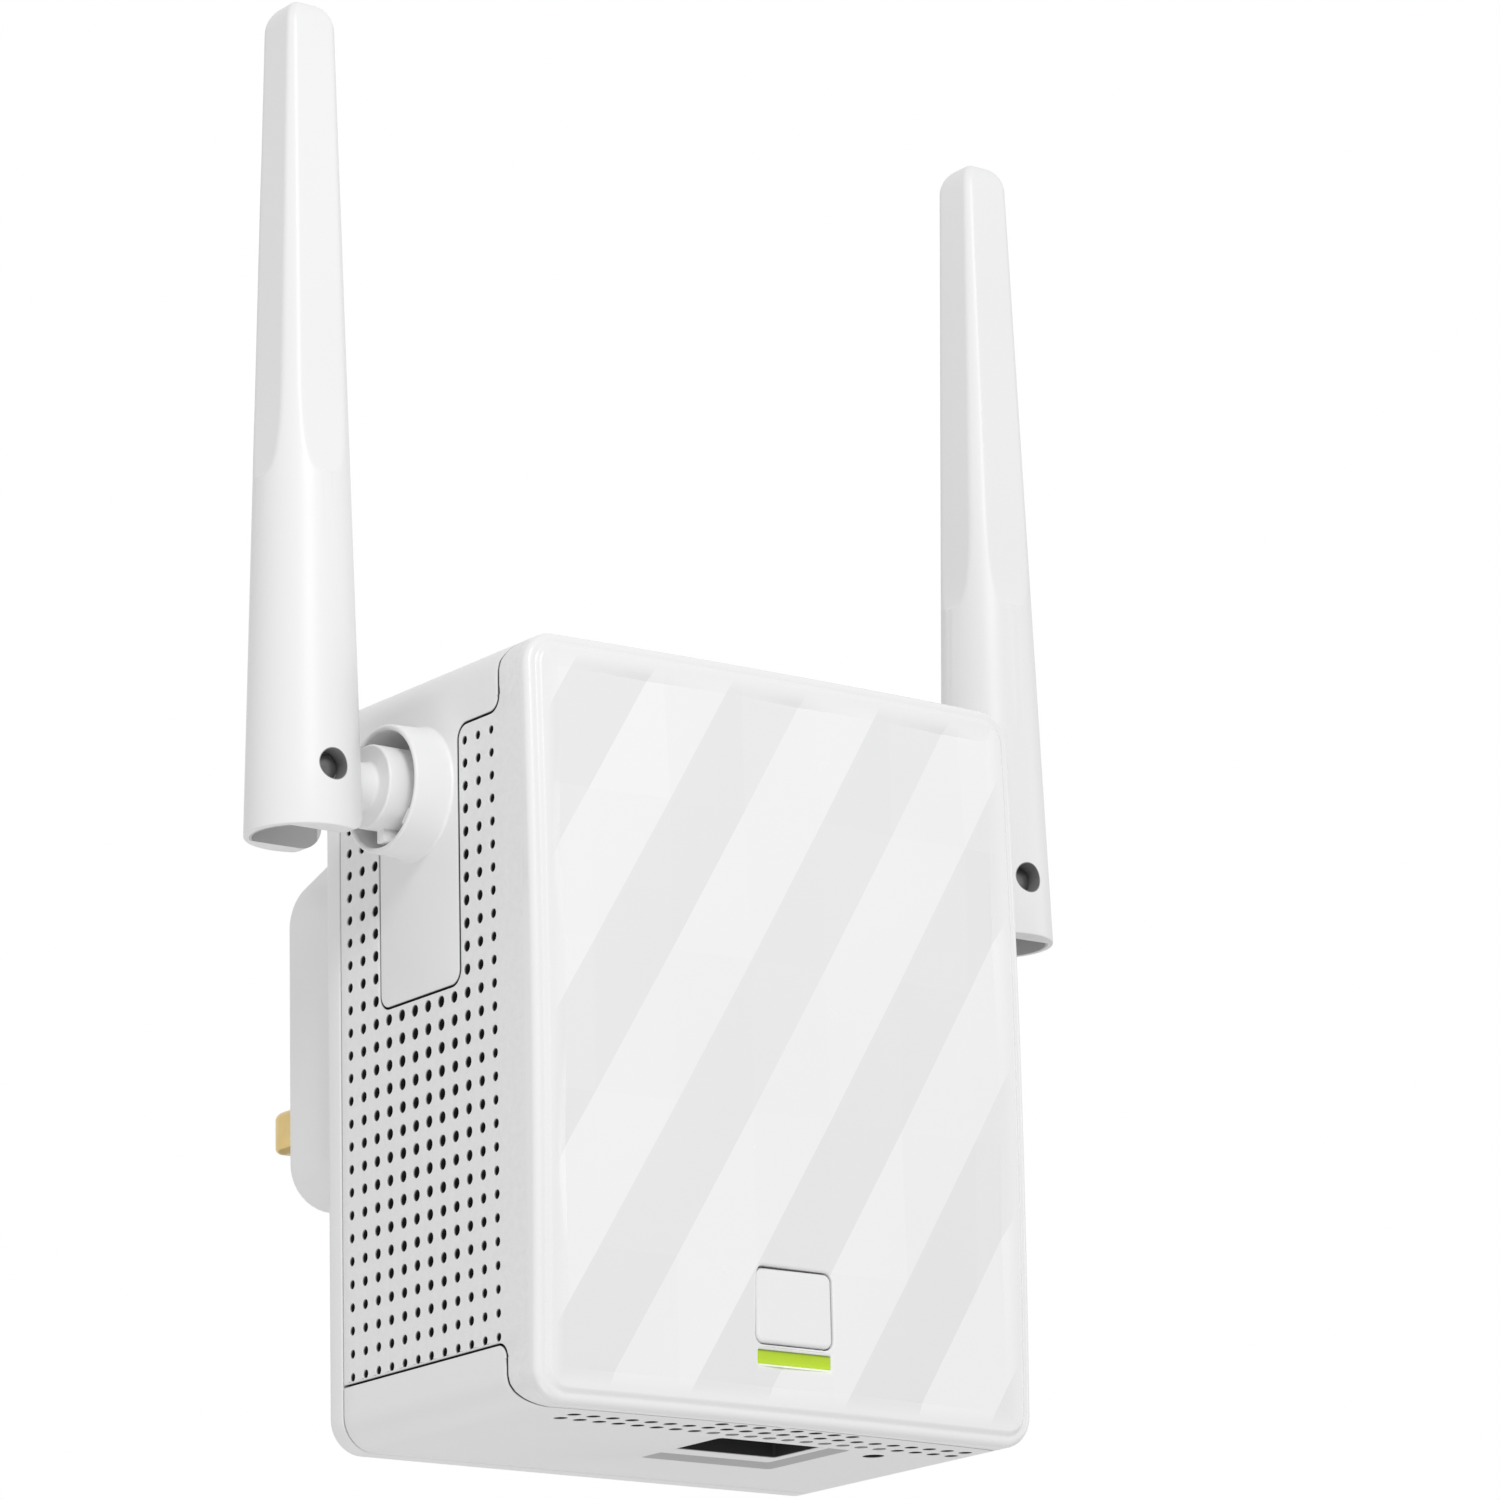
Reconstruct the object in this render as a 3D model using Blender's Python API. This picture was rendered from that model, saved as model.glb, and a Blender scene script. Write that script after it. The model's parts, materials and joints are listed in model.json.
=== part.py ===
"""Plug-in wifi range extender with two swivelling aerials, built as separate solids.

The origin is on the rear face of the plug block, midway between the line and the neutral
pin.  +X is to the right as seen from the front, +Y runs into the wall and +Z is up, so the
domed front looks towards -Y.  All sizes are in metres.
"""

import math

import bmesh
import bpy
import numpy as np

MM = 0.001
GAP = 0.3 * MM  # running and seating clearance between neighbouring pieces
OVERLAP = 0.4 * MM  # how far shapes that are joined into one solid run into each other
LEFT, RIGHT = -1, 1

# Case
CASE_WIDTH = 52.0 * MM
CASE_HEIGHT = 65.8 * MM
CASE_DEPTH = 32.8 * MM  # from the back of the rear flange to the middle of the domed front
CASE_BOTTOM = -34.1 * MM  # below the centre line of the two live pins
CASE_CORNER = 3.0 * MM
WALL = 1.8 * MM
FLANGE_THICKNESS = 2.5 * MM
EDGE_ROUND = 1.6 * MM  # roll-over round the front face
DOME_RISE = 1.0 * MM
COVER_RIM = 0.6 * MM  # straight rim of the front cover behind its rounded edge
SIDE_STEP = 2.1 * MM  # the seam lies this much further back on the sides than on top
TONGUE = 1.2 * MM  # thickness of the locating tongues inside the seams
TONGUE_LENGTH = 3.5 * MM
BARB = 0.6 * MM
RAIL = 1.5 * MM  # the housing's inner side rails: thickness and depth
RAIL_DEPTH = 5.0 * MM

# Smooth plate on each side that carries an aerial, and the chin below the vents
CHIN_HEIGHT = 5.55 * MM
ARM_HEIGHT = 6.2 * MM  # from the top of the case down to the arms' lower edge
STEM_WIDTH = 12.5 * MM
STEM_LENGTH = 28.7 * MM
STRIP_END = 2.0 * MM  # the cover's side strips stop this far from the top and the bottom
PLATE_ROUND = 1.3 * MM
STEP_ROUND = 1.8 * MM  # fillet where a side strip runs out under the top or the bottom

# Aerial: a swivel in a cup on the side of the case, and a blade hinged on the swivel
SWIVEL_DEPTH = 24.2 * MM  # swivel axis in front of the plug face
SWIVEL_BELOW_TOP = 10.8 * MM
CUP_BASE_RADIUS = 5.75 * MM
CUP_LIP_RADIUS = 5.6 * MM
CUP_BORE = 5.1 * MM
CUP_REACH = 3.7 * MM
CUP_FLOOR = 0.6 * MM  # depth of the cup's floor behind the side face
STOP_WIDTH = 1.6 * MM
STOP_ANGLE = 45.0  # from straight down towards the front, in degrees
COLLAR_RADIUS = 3.66 * MM
COLLAR_REACH = 5.1 * MM
SHAFT_RADIUS = 2.6 * MM
SHAFT_INNER_END = 4.6 * MM
LUG_WIDTH = 1.0 * MM
LUG_LENGTH = 2.4 * MM
NECK_RADIUS = 2.5 * MM
PIVOT_REACH = 11.5 * MM
EYE_RADIUS = 2.9 * MM
EYE_THICKNESS = 5.6 * MM
COAX_RADIUS = 0.55 * MM
COAX_LANDING = 11.0 * MM  # solder point, in from the side of the case
COAX_DROP = 4.0 * MM
CLIP_RADIUS = 4.1 * MM
CLIP_THICKNESS = 0.8 * MM
GROOVE_RADIUS = 1.8 * MM
HINGE_PIN_RADIUS = 1.05 * MM
HINGE_PIN_GRIP = 1.0 * MM  # length of the hinge pin in each of the blade's ears
BLADE_BASE_RADIUS = 5.1 * MM
BLADE_TAPER = 0.028
BLADE_BELOW = 5.4 * MM  # below the hinge axis
BLADE_ABOVE = 70.0 * MM
BLADE_TIP_ROUND = 2.6 * MM
BLADE_FOOT_ROUND = 2.2 * MM
BLADE_OUTER_WALL = 1.5 * MM
FLAT_DEPTH = 0.65 * MM  # how far the four flats are sunk below the cone
FLAT_START = 26.0 * MM
FLAT_RUNOUT = 8.0 * MM
ELEMENT_RADIUS = 1.0 * MM
ELEMENT_LENGTH = 46.0 * MM

# Plug block and pins
PLUG_WIDTH = 48.0 * MM
PLUG_DEPTH = 9.6 * MM
PLUG_BELOW = 11.0 * MM
PLUG_SIDE_TOP = 13.0 * MM
PLUG_ABOVE = 29.4 * MM
PLUG_TOP_WIDTH = 22.0 * MM
PLUG_ROUND = 3.0 * MM
PIN_SPACING = 22.22 * MM
PIN_WIDTH = 6.35 * MM
PIN_THICKNESS = 4.0 * MM
PIN_LENGTH = 17.7 * MM
PIN_TIP = 1.2 * MM
SLEEVE_LENGTH = 9.5 * MM
SLEEVE_WALL = 0.35 * MM
EARTH_HEIGHT = 22.23 * MM
EARTH_WIDTH = 4.0 * MM
EARTH_THICKNESS = 8.0 * MM
EARTH_LENGTH = 22.73 * MM
PIN_HEAD_MARGIN = 1.1 * MM
PIN_HEAD_THICKNESS = 1.9 * MM

# Button and light bar on the front
BUTTON_WIDTH = 8.0 * MM
BUTTON_HEIGHT = 6.4 * MM
BUTTON_ABOVE_BOTTOM = 6.7 * MM
BUTTON_ROUND = 0.6 * MM
BUTTON_CLEARANCE = 0.25 * MM
BUTTON_LIP = 0.6 * MM
BUTTON_LIP_THICKNESS = 0.8 * MM
BUTTON_TRAVEL = 0.5 * MM
LIGHT_WIDTH = 8.0 * MM
LIGHT_HEIGHT = 1.2 * MM
LIGHT_ABOVE_BOTTOM = 4.75 * MM
LIGHT_RECESS = 0.5 * MM

# Boards and what stands on them
BOARD_THICKNESS = 1.0 * MM
BOARD_SETBACK = 8.4 * MM  # its rear face behind the middle of the domed front
BOARD_SIDE_MARGIN = 3.2 * MM
BOARD_TOP_MARGIN = 4.2 * MM
BOARD_BOTTOM_MARGIN = 4.0 * MM
POWER_BOARD_THICKNESS = 1.6 * MM
POWER_BOARD_LOW = -9.5 * MM
POWER_BOARD_HIGH = 21.0 * MM
POWER_BOARD_WIDTH = 40.0 * MM
SCREW_INSET = 5.0 * MM  # screw axis from the case's side face
SCREW_TOP = 6.7 * MM  # screw axis from the top and the bottom of the case
SCREW_RADIUS = 0.75 * MM
SCREW_HEAD_RADIUS = 1.6 * MM
SCREW_HEAD_HEIGHT = 1.2 * MM
SCREW_LENGTH = 4.6 * MM
POST_SIZE = 4.4 * MM
POST_DEPTH = 5.2 * MM
SWITCH_SIZE = 6.0 * MM
PLUNGER_RADIUS = 1.7 * MM
PLUNGER_SHOWN = 0.8 * MM
PLUNGER_LENGTH = 2.1 * MM

# Parts on the front of the main board: width, height, thickness, and middle in X and Z
WIFI_CHIP = (9.0 * MM, 9.0 * MM, 0.9 * MM, -9.0 * MM, 4.0 * MM)
MEMORY_CHIP = (8.0 * MM, 5.3 * MM, 1.6 * MM, 13.0 * MM, 8.0 * MM)
CLOCK_CRYSTAL = (5.0 * MM, 3.2 * MM, 1.1 * MM, 13.0 * MM, -2.0 * MM)
RF_SHIELD = (22.0 * MM, 20.0 * MM, 3.0 * MM, -9.0 * MM, 5.0 * MM)
SHIELD_WALL = 0.4 * MM
LED_SIZE = (3.0 * MM, 1.4 * MM, 0.8 * MM)
# Network transformer behind the main board: width, thickness, height
LAN_TRANSFORMER = (12.0 * MM, 3.0 * MM, 7.0 * MM)

# Parts on the front of the power board: width, height, thickness, and middle in X and Z
TRANSFORMER_CORE = (14.0 * MM, 6.0 * MM, 12.0 * MM, 0.0, 4.0 * MM)
TRANSFORMER_WINDING = (9.0 * MM, 13.0 * MM, 11.0 * MM, 0.0, 4.0 * MM)
TRANSFORMER_FOOT = (13.0 * MM, 15.0 * MM, 1.2 * MM, 0.0, 4.0 * MM)
RECTIFIER = (6.5 * MM, 5.0 * MM, 2.6 * MM, -13.0 * MM, 3.0 * MM)
REGULATOR_CHIP = (5.0 * MM, 6.2 * MM, 1.7 * MM, 13.0 * MM, 4.0 * MM)
CAPACITOR_RADIUS = 3.9 * MM
CAPACITOR_LENGTH = 10.4 * MM
CAPACITOR_SHOULDER = 0.4 * MM
CAPACITOR_OFFSET = 13.0 * MM
CAPACITOR_HEIGHT = 14.5 * MM
FUSE_RADIUS = 1.9 * MM
FUSE_ENDS = (-8.5 * MM, -0.8 * MM)
LINK_SIDES = (12.0 * MM, 18.6 * MM)  # plug-in link between the boards, in X
LINK_THICKNESS = 2.5 * MM
FILM_THICKNESS = 0.4 * MM
FILM_HALF_WIDTH = 18.0 * MM
FILM_LEVELS = (-5.5 * MM, 17.0 * MM)
CONTACT_STRIP = 0.6 * MM
CONTACT_STRIP_WIDTH = 3.0 * MM
CONTACT_STRIP_RISE = 2.4 * MM

# Ethernet port and reset switch in the underside
PORT_OFFSET = 5.3 * MM  # from the case's middle towards the right
PORT_SETBACK = 0.8 * MM  # front edge of the recess behind the main board
RECESS_WIDTH = 14.0 * MM
RECESS_DEPTH = 11.9 * MM
RECESS_SLOPE = 1.1 * MM
JACK_WIDTH = 16.0 * MM
JACK_DEPTH = 13.0 * MM
JACK_LENGTH = 21.3 * MM
JACK_MOUTH_WIDTH = 11.7 * MM
JACK_MOUTH_DEPTH = 6.8 * MM
JACK_FRONT_WALL = 1.8 * MM
LATCH_WIDTH = 6.0 * MM
LATCH_DEPTH = 1.7 * MM
PORT_BORE = 13.0 * MM
ABOVE_JACK = 1.7 * MM  # from the top of the jack to what stands over it
CONTACT_COUNT = 8
CONTACT_PITCH = 1.02 * MM
CONTACT_THICKNESS = 0.4 * MM
CONTACT_BOW = 1.0 * MM
CONTACT_BOW_LEVEL = 5.0 * MM
COMB_SIZE = 1.5 * MM
RESET_FROM_JACK = 2.6 * MM  # reset axis from the side of the jack
RESET_FROM_BOARD = 2.5 * MM
RESET_HOLE_RADIUS = 0.95 * MM
RESET_SIZE = 4.4 * MM
RESET_SWITCH_HEIGHT = 3.5 * MM
RESET_SWITCH_LEVEL = 2.4 * MM  # above the inside of the bottom wall
RESET_PLUNGER_RADIUS = 0.7 * MM
RESET_TRAVEL = 0.25 * MM

# Places worked out from the sizes above
HALF_WIDTH = CASE_WIDTH / 2
CASE_TOP = CASE_BOTTOM + CASE_HEIGHT
FLANGE_BACK = -PLUG_DEPTH
FLANGE_FRONT = FLANGE_BACK - FLANGE_THICKNESS
DOME_FRONT = FLANGE_BACK - CASE_DEPTH
FACE_RIM = DOME_FRONT + DOME_RISE
FRONT_SEAM = FACE_RIM + EDGE_ROUND + COVER_RIM + GAP
SIDE_SEAM = FRONT_SEAM + SIDE_STEP
FRONT_TONGUE_END = FRONT_SEAM + TONGUE_LENGTH
CHIN_TOP = CASE_BOTTOM + CHIN_HEIGHT
ARM_BOTTOM = CASE_TOP - ARM_HEIGHT
STEM_BOTTOM = CASE_TOP - STEM_LENGTH
SWIVEL_HEIGHT = CASE_TOP - SWIVEL_BELOW_TOP
STEM_FRONT = -SWIVEL_DEPTH - STEM_WIDTH / 2
STEM_BACK = -SWIVEL_DEPTH + STEM_WIDTH / 2
MAIN_BOARD_WIDTH = CASE_WIDTH - 2 * BOARD_SIDE_MARGIN
BOARD_BACK = DOME_FRONT + BOARD_SETBACK
BOARD_FRONT = BOARD_BACK - BOARD_THICKNESS
POWER_BOARD_BACK = FLANGE_FRONT - GAP
POWER_BOARD_FRONT = POWER_BOARD_BACK - POWER_BOARD_THICKNESS
BUTTON_LOW = CASE_BOTTOM + BUTTON_ABOVE_BOTTOM
BUTTON_MIDDLE = BUTTON_LOW + BUTTON_HEIGHT / 2
LIGHT_LOW = CASE_BOTTOM + LIGHT_ABOVE_BOTTOM
LIGHT_MIDDLE = LIGHT_LOW + LIGHT_HEIGHT / 2
SCREW_HEIGHTS = (CASE_BOTTOM + SCREW_TOP, CASE_TOP - SCREW_TOP)
JACK_FACE = CASE_BOTTOM + WALL + GAP
JACK_TOP = JACK_FACE + JACK_LENGTH
JACK_FRONT = BOARD_BACK + GAP
MOUTH_FRONT = JACK_FRONT + JACK_FRONT_WALL
RESET_AXIS_Y = BOARD_BACK + RESET_FROM_BOARD
RESET_OFFSET = PORT_OFFSET + JACK_WIDTH / 2 + RESET_FROM_JACK


def make_finish(name, colour, roughness, metallic=0.0):
    """Principled material of one colour, shared by every piece made of the same stuff."""
    finish = bpy.data.materials.get(name)
    if finish is None:
        finish = bpy.data.materials.new(name)
        finish.use_nodes = True
        shader = finish.node_tree.nodes["Principled BSDF"]
        shader.inputs["Base Color"].default_value = (*colour, 1.0)
        shader.inputs["Roughness"].default_value = roughness
        shader.inputs["Metallic"].default_value = metallic
    return finish


def white_plastic():
    return make_finish("white_plastic", (0.86, 0.86, 0.87), 0.35)


def black_plastic():
    return make_finish("black_plastic", (0.02, 0.02, 0.02), 0.4)


def clear_plastic():
    return make_finish("green_light_pipe", (0.50, 0.75, 0.05), 0.2)


def board_laminate():
    return make_finish("board_laminate", (0.02, 0.17, 0.07), 0.4)


def chip_resin():
    return make_finish("chip_resin", (0.03, 0.03, 0.035), 0.5)


def tinned_steel():
    return make_finish("tinned_steel", (0.62, 0.62, 0.63), 0.3, 1.0)


def brass():
    return make_finish("brass", (0.72, 0.53, 0.22), 0.3, 1.0)


def capacitor_sleeve():
    return make_finish("capacitor_sleeve", (0.05, 0.07, 0.16), 0.35)


def winding_tape():
    return make_finish("winding_tape", (0.75, 0.60, 0.10), 0.5)


def coax_jacket():
    return make_finish("coax_jacket", (0.16, 0.16, 0.17), 0.5)


def insulating_film():
    return make_finish("insulating_film", (0.80, 0.78, 0.70), 0.4)


def point_on(axis, u, v, along):
    """3-D point from the two coordinates across an axis and the one along it."""
    if axis == "X":
        return (along, u, v)
    if axis == "Y":
        return (u, along, v)
    return (u, v, along)


def arc(centre, radius, start, end, steps):
    """Points on a circular arc from the start angle to the end angle, in degrees."""
    angles = np.radians(np.linspace(start, end, steps + 1))
    return [(centre[0] + radius * math.cos(a), centre[1] + radius * math.sin(a)) for a in angles]


def circle(centre, radius, sides):
    return arc(centre, radius, 0, 360, sides)[:-1]


def rectangle(low, high):
    return [low, (high[0], low[1]), high, (low[0], high[1])]


def rounded_rectangle(low, high, radius, steps=5):
    """Rectangle between two opposite corners, with a quarter circle at each corner."""
    right, left = high[0] - radius, low[0] + radius
    top, bottom = high[1] - radius, low[1] + radius
    corners = (((right, top), 0), ((left, top), 90), ((left, bottom), 180), ((right, bottom), 270))
    return [p for centre, start in corners for p in arc(centre, radius, start, start + 90, steps)]


def rounded_polygon(corners, steps=3):
    """Closed outline through corners (u, v, fillet radius), each fillet an arc."""
    outline = []
    for index, (u, v, radius) in enumerate(corners):
        here = np.array((u, v))
        before = np.array(corners[index - 1][:2]) - here
        after = np.array(corners[(index + 1) % len(corners)][:2]) - here
        before /= np.linalg.norm(before)
        after /= np.linalg.norm(after)
        if radius == 0:
            outline.append((u, v))
            continue
        half = math.acos(float(np.dot(before, after))) / 2
        inward = (before + after) / np.linalg.norm(before + after)
        centre = here + inward * radius / math.sin(half)
        start = here + before * radius / math.tan(half) - centre
        end = here + after * radius / math.tan(half) - centre
        first = math.atan2(start[1], start[0])
        turn = (math.atan2(end[1], end[0]) - first + math.pi) % (2 * math.pi) - math.pi
        outline += arc(centre, radius, math.degrees(first), math.degrees(first + turn), steps)
    return outline


def loft(rings, closed=False):
    """Solid whose skin joins each ring of points to the next.

    The first and last ring are capped, or joined to each other when closed is set.
    """
    shape = bmesh.new()
    loops = [[shape.verts.new(point) for point in ring] for ring in rings]
    pairs = list(zip(loops, loops[1:]))
    if closed:
        pairs.append((loops[-1], loops[0]))
    else:
        shape.faces.new(loops[0])
        shape.faces.new(loops[-1])
    for lower, upper in pairs:
        for i in range(len(lower)):
            j = (i + 1) % len(lower)
            shape.faces.new((lower[i], lower[j], upper[j], upper[i]))
    bmesh.ops.recalc_face_normals(shape, faces=shape.faces)
    return shape


def prism(outline, axis, start, end):
    """Outline across an axis, extruded along it from start to end."""
    return loft([[point_on(axis, u, v, along) for u, v in outline] for along in (start, end)])


def box(low, high):
    return prism(rectangle(low[:2], high[:2]), "Z", low[2], high[2])


def cylinder(axis, centre, radius, start, end, sides=24):
    return prism(circle(centre, radius, sides), axis, start, end)


def turned(axis, centre, profile, sides=32):
    """Solid turned about an axis from a profile of (position along it, radius)."""
    return loft([
        [point_on(axis, u, v, along) for u, v in circle(centre, radius, sides)]
        for along, radius in profile
    ])


def add(name, shape, finish=None, parent=None):
    """Object made from a shape; its coordinates are the parent's, or the world's."""
    mesh = bpy.data.meshes.new(name)
    shape.to_mesh(mesh)
    shape.free()
    obj = bpy.data.objects.new(name, mesh)
    bpy.context.scene.collection.objects.link(obj)
    obj.parent = parent
    if finish:
        mesh.materials.append(finish)
        mesh.shade_smooth()
        mesh.set_sharp_from_angle(angle=math.radians(35))
    return obj


def combine(obj, operation, shapes):
    """Adds one Boolean modifier for each shape, with the shape kept as a hidden guide."""
    for shape in shapes:
        number = len(obj.modifiers) + 1
        guide = add(f"{obj.name}_guide_{number}", shape, parent=obj.parent)
        guide.hide_render = True
        guide.display_type = "WIRE"
        modifier = obj.modifiers.new(f"{operation.lower()}_{number}", "BOOLEAN")
        modifier.operation = operation
        modifier.object = guide
    return obj


def join(obj, *shapes):
    return combine(obj, "UNION", shapes)


def carve(obj, *shapes):
    return combine(obj, "DIFFERENCE", shapes)


def keep_common(obj, shape):
    return combine(obj, "INTERSECT", [shape])


def add_axis(name, location, parent=None):
    """Empty that marks a joint's place and carries the pieces that turn or slide there."""
    empty = bpy.data.objects.new(name, None)
    bpy.context.scene.collection.objects.link(empty)
    empty.empty_display_size = 5 * MM
    empty.parent = parent
    empty.location = location
    return empty


def case_ring(inset, depth):
    """Outline of the case drawn in by inset, at one depth along Y."""
    low = (-HALF_WIDTH + inset, CASE_BOTTOM + inset)
    high = (HALF_WIDTH - inset, CASE_TOP - inset)
    radius = max(CASE_CORNER - inset, 0.6 * MM)
    return [point_on("Y", x, z, depth) for x, z in rounded_rectangle(low, high, radius)]


def case_tube(front, back):
    """Wall of the case between two depths, open at both ends."""
    rings = [case_ring(0, front), case_ring(0, back), case_ring(WALL, back), case_ring(WALL, front)]
    return loft(rings, closed=True)


def dome_depth(inset):
    """Depth of the front face this far in from its rim: a parabola towards the middle."""
    share = min((inset - EDGE_ROUND) / (HALF_WIDTH - EDGE_ROUND), 1.0)
    return FACE_RIM - DOME_RISE * (1 - (1 - share) ** 2)


def housing_mask(gap):
    """Solid that holds all of the housing's wall, grown by gap: its outline in Y and Z.

    Above is the top wall with the T-shaped side plates, below the bottom wall and the chin.
    """
    concave, convex, step = PLATE_ROUND - gap, PLATE_ROUND + gap, STEP_ROUND - gap
    front, side, back = FRONT_SEAM - gap, SIDE_SEAM - gap, FLANGE_BACK
    arm, stem, chin = ARM_BOTTOM - gap, STEM_BOTTOM - gap, CHIN_TOP + gap
    high, low = CASE_TOP - STRIP_END - gap, CASE_BOTTOM + STRIP_END + gap
    plate = rounded_polygon([
        (front, CASE_TOP + WALL, 0), (back, CASE_TOP + WALL, 0), (back, arm, 0),
        (STEM_BACK + gap, arm, concave), (STEM_BACK + gap, stem, convex),
        (STEM_FRONT - gap, stem, convex), (STEM_FRONT - gap, arm, concave),
        (side, arm, convex), (side, high, step), (front, high, 0),
    ])
    foot = rounded_polygon([
        (front, low, 0), (side, low, step), (side, chin, convex),
        (back, chin, 0), (back, CASE_BOTTOM - WALL, 0), (front, CASE_BOTTOM - WALL, 0),
    ])
    reach = HALF_WIDTH + WALL
    mask = prism(plate, "X", -reach, reach)
    lower = prism(foot, "X", -reach, reach)
    helper = bpy.data.meshes.new("housing_mask_lower")
    lower.to_mesh(helper)
    lower.free()
    mask.from_mesh(helper)
    return mask


def tongue(level, front, back):
    """Locating tongue of a cover inside the top wall (level 1) or the bottom wall (-1)."""
    wall_face = CASE_TOP - WALL if level > 0 else CASE_BOTTOM + WALL
    low, high = sorted((wall_face - level * GAP, wall_face - level * (GAP + TONGUE)))
    return box((-HALF_WIDTH / 2, front, low), (HALF_WIDTH / 2, back, high))


def barb(level, front, gap=0.0):
    """Barb on a tongue, or the pocket for it in the housing's wall when gap is set."""
    wall_face = CASE_TOP - WALL if level > 0 else CASE_BOTTOM + WALL
    half = HALF_WIDTH / 6 + gap
    ends = (wall_face - level * (GAP + TONGUE / 2), wall_face + level * (BARB - GAP + gap))
    low, high = sorted(ends)
    return box((-half, front - gap, low), (half, front + 2 * BARB + gap, high))


def side_rail(side):
    """Rail inside the vent wall that ties the housing's top to its bottom."""
    near = HALF_WIDTH - WALL - GAP
    low, high = sorted((side * near, side * (near - RAIL)))
    ends = (CASE_BOTTOM + WALL - OVERLAP, CASE_TOP - WALL + OVERLAP)
    return box((low, FLANGE_FRONT - RAIL_DEPTH, ends[0]), (high, FLANGE_FRONT - GAP, ends[1]))


def add_front_cover():
    edge = [(EDGE_ROUND * (1 - math.cos(a)), FACE_RIM + EDGE_ROUND * (1 - math.sin(a)))
            for a in np.radians((90, 60, 30, 0))]
    face_insets = [HALF_WIDTH * share for share in (0.85, 0.6, 0.4, 0.2)]
    back = FLANGE_FRONT - GAP
    rings = [case_ring(inset, dome_depth(inset)) for inset in face_insets]
    rings += [case_ring(inset, depth) for inset, depth in edge]
    rings += [case_ring(0, back), case_ring(WALL, back)]
    rings += [case_ring(WALL, FACE_RIM + 1.2 * WALL), case_ring(1.2 * WALL, FACE_RIM + WALL)]
    rings += [case_ring(inset, dome_depth(inset) + WALL) for inset in reversed(face_insets)]
    cover = add("front_cover", loft(rings), white_plastic())
    carve(cover, housing_mask(GAP))
    for level in (-1, 1):
        join(cover, tongue(level, FRONT_SEAM - GAP - 3 * OVERLAP, FRONT_TONGUE_END))
        join(cover, barb(level, FRONT_TONGUE_END - 2 * BARB))
    reach = BUTTON_CLEARANCE
    button_hole = rounded_rectangle(
        (-BUTTON_WIDTH / 2 - reach, BUTTON_LOW - reach),
        (BUTTON_WIDTH / 2 + reach, BUTTON_LOW + BUTTON_HEIGHT + reach), BUTTON_ROUND + reach, 3)
    light_hole = rectangle((-LIGHT_WIDTH / 2, LIGHT_LOW), (LIGHT_WIDTH / 2, LIGHT_LOW + LIGHT_HEIGHT))
    ends = (DOME_FRONT - WALL, FACE_RIM + 2 * WALL)
    carve(cover, prism(button_hole, "Y", *ends), prism(light_hole, "Y", *ends))


def cup_shapes(side):
    """Boss round the swivel: the outer cone, its bore, the shaft hole and the end stop."""
    centre = (-SWIVEL_DEPTH, SWIVEL_HEIGHT)
    face = side * HALF_WIDTH
    cone = turned("X", centre, [(face - side * WALL / 2, CUP_BASE_RADIUS), (face, CUP_BASE_RADIUS),
                                (face + side * CUP_REACH, CUP_LIP_RADIUS)], 40)
    bore = cylinder("X", centre, CUP_BORE, face - side * CUP_FLOOR, face + side * 2 * CUP_REACH, 40)
    hole = cylinder("X", centre, SHAFT_RADIUS + GAP, face - side * 2 * WALL, face, 32)
    along = math.radians(-90 - STOP_ANGLE)
    out = np.array((math.cos(along), math.sin(along)))
    across = np.array((-math.sin(along), math.cos(along)))
    radii = (COLLAR_RADIUS + GAP, (CUP_BORE + CUP_LIP_RADIUS) / 2)
    stop = [tuple(np.array(centre) + out * r + across * w * STOP_WIDTH / 2)
            for r, w in ((radii[0], -1), (radii[1], -1), (radii[1], 1), (radii[0], 1))]
    block = prism(stop, "X", face - side * (CUP_FLOOR + OVERLAP), face + side * (CUP_REACH - WALL / 3))
    return cone, bore, hole, block


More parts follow.
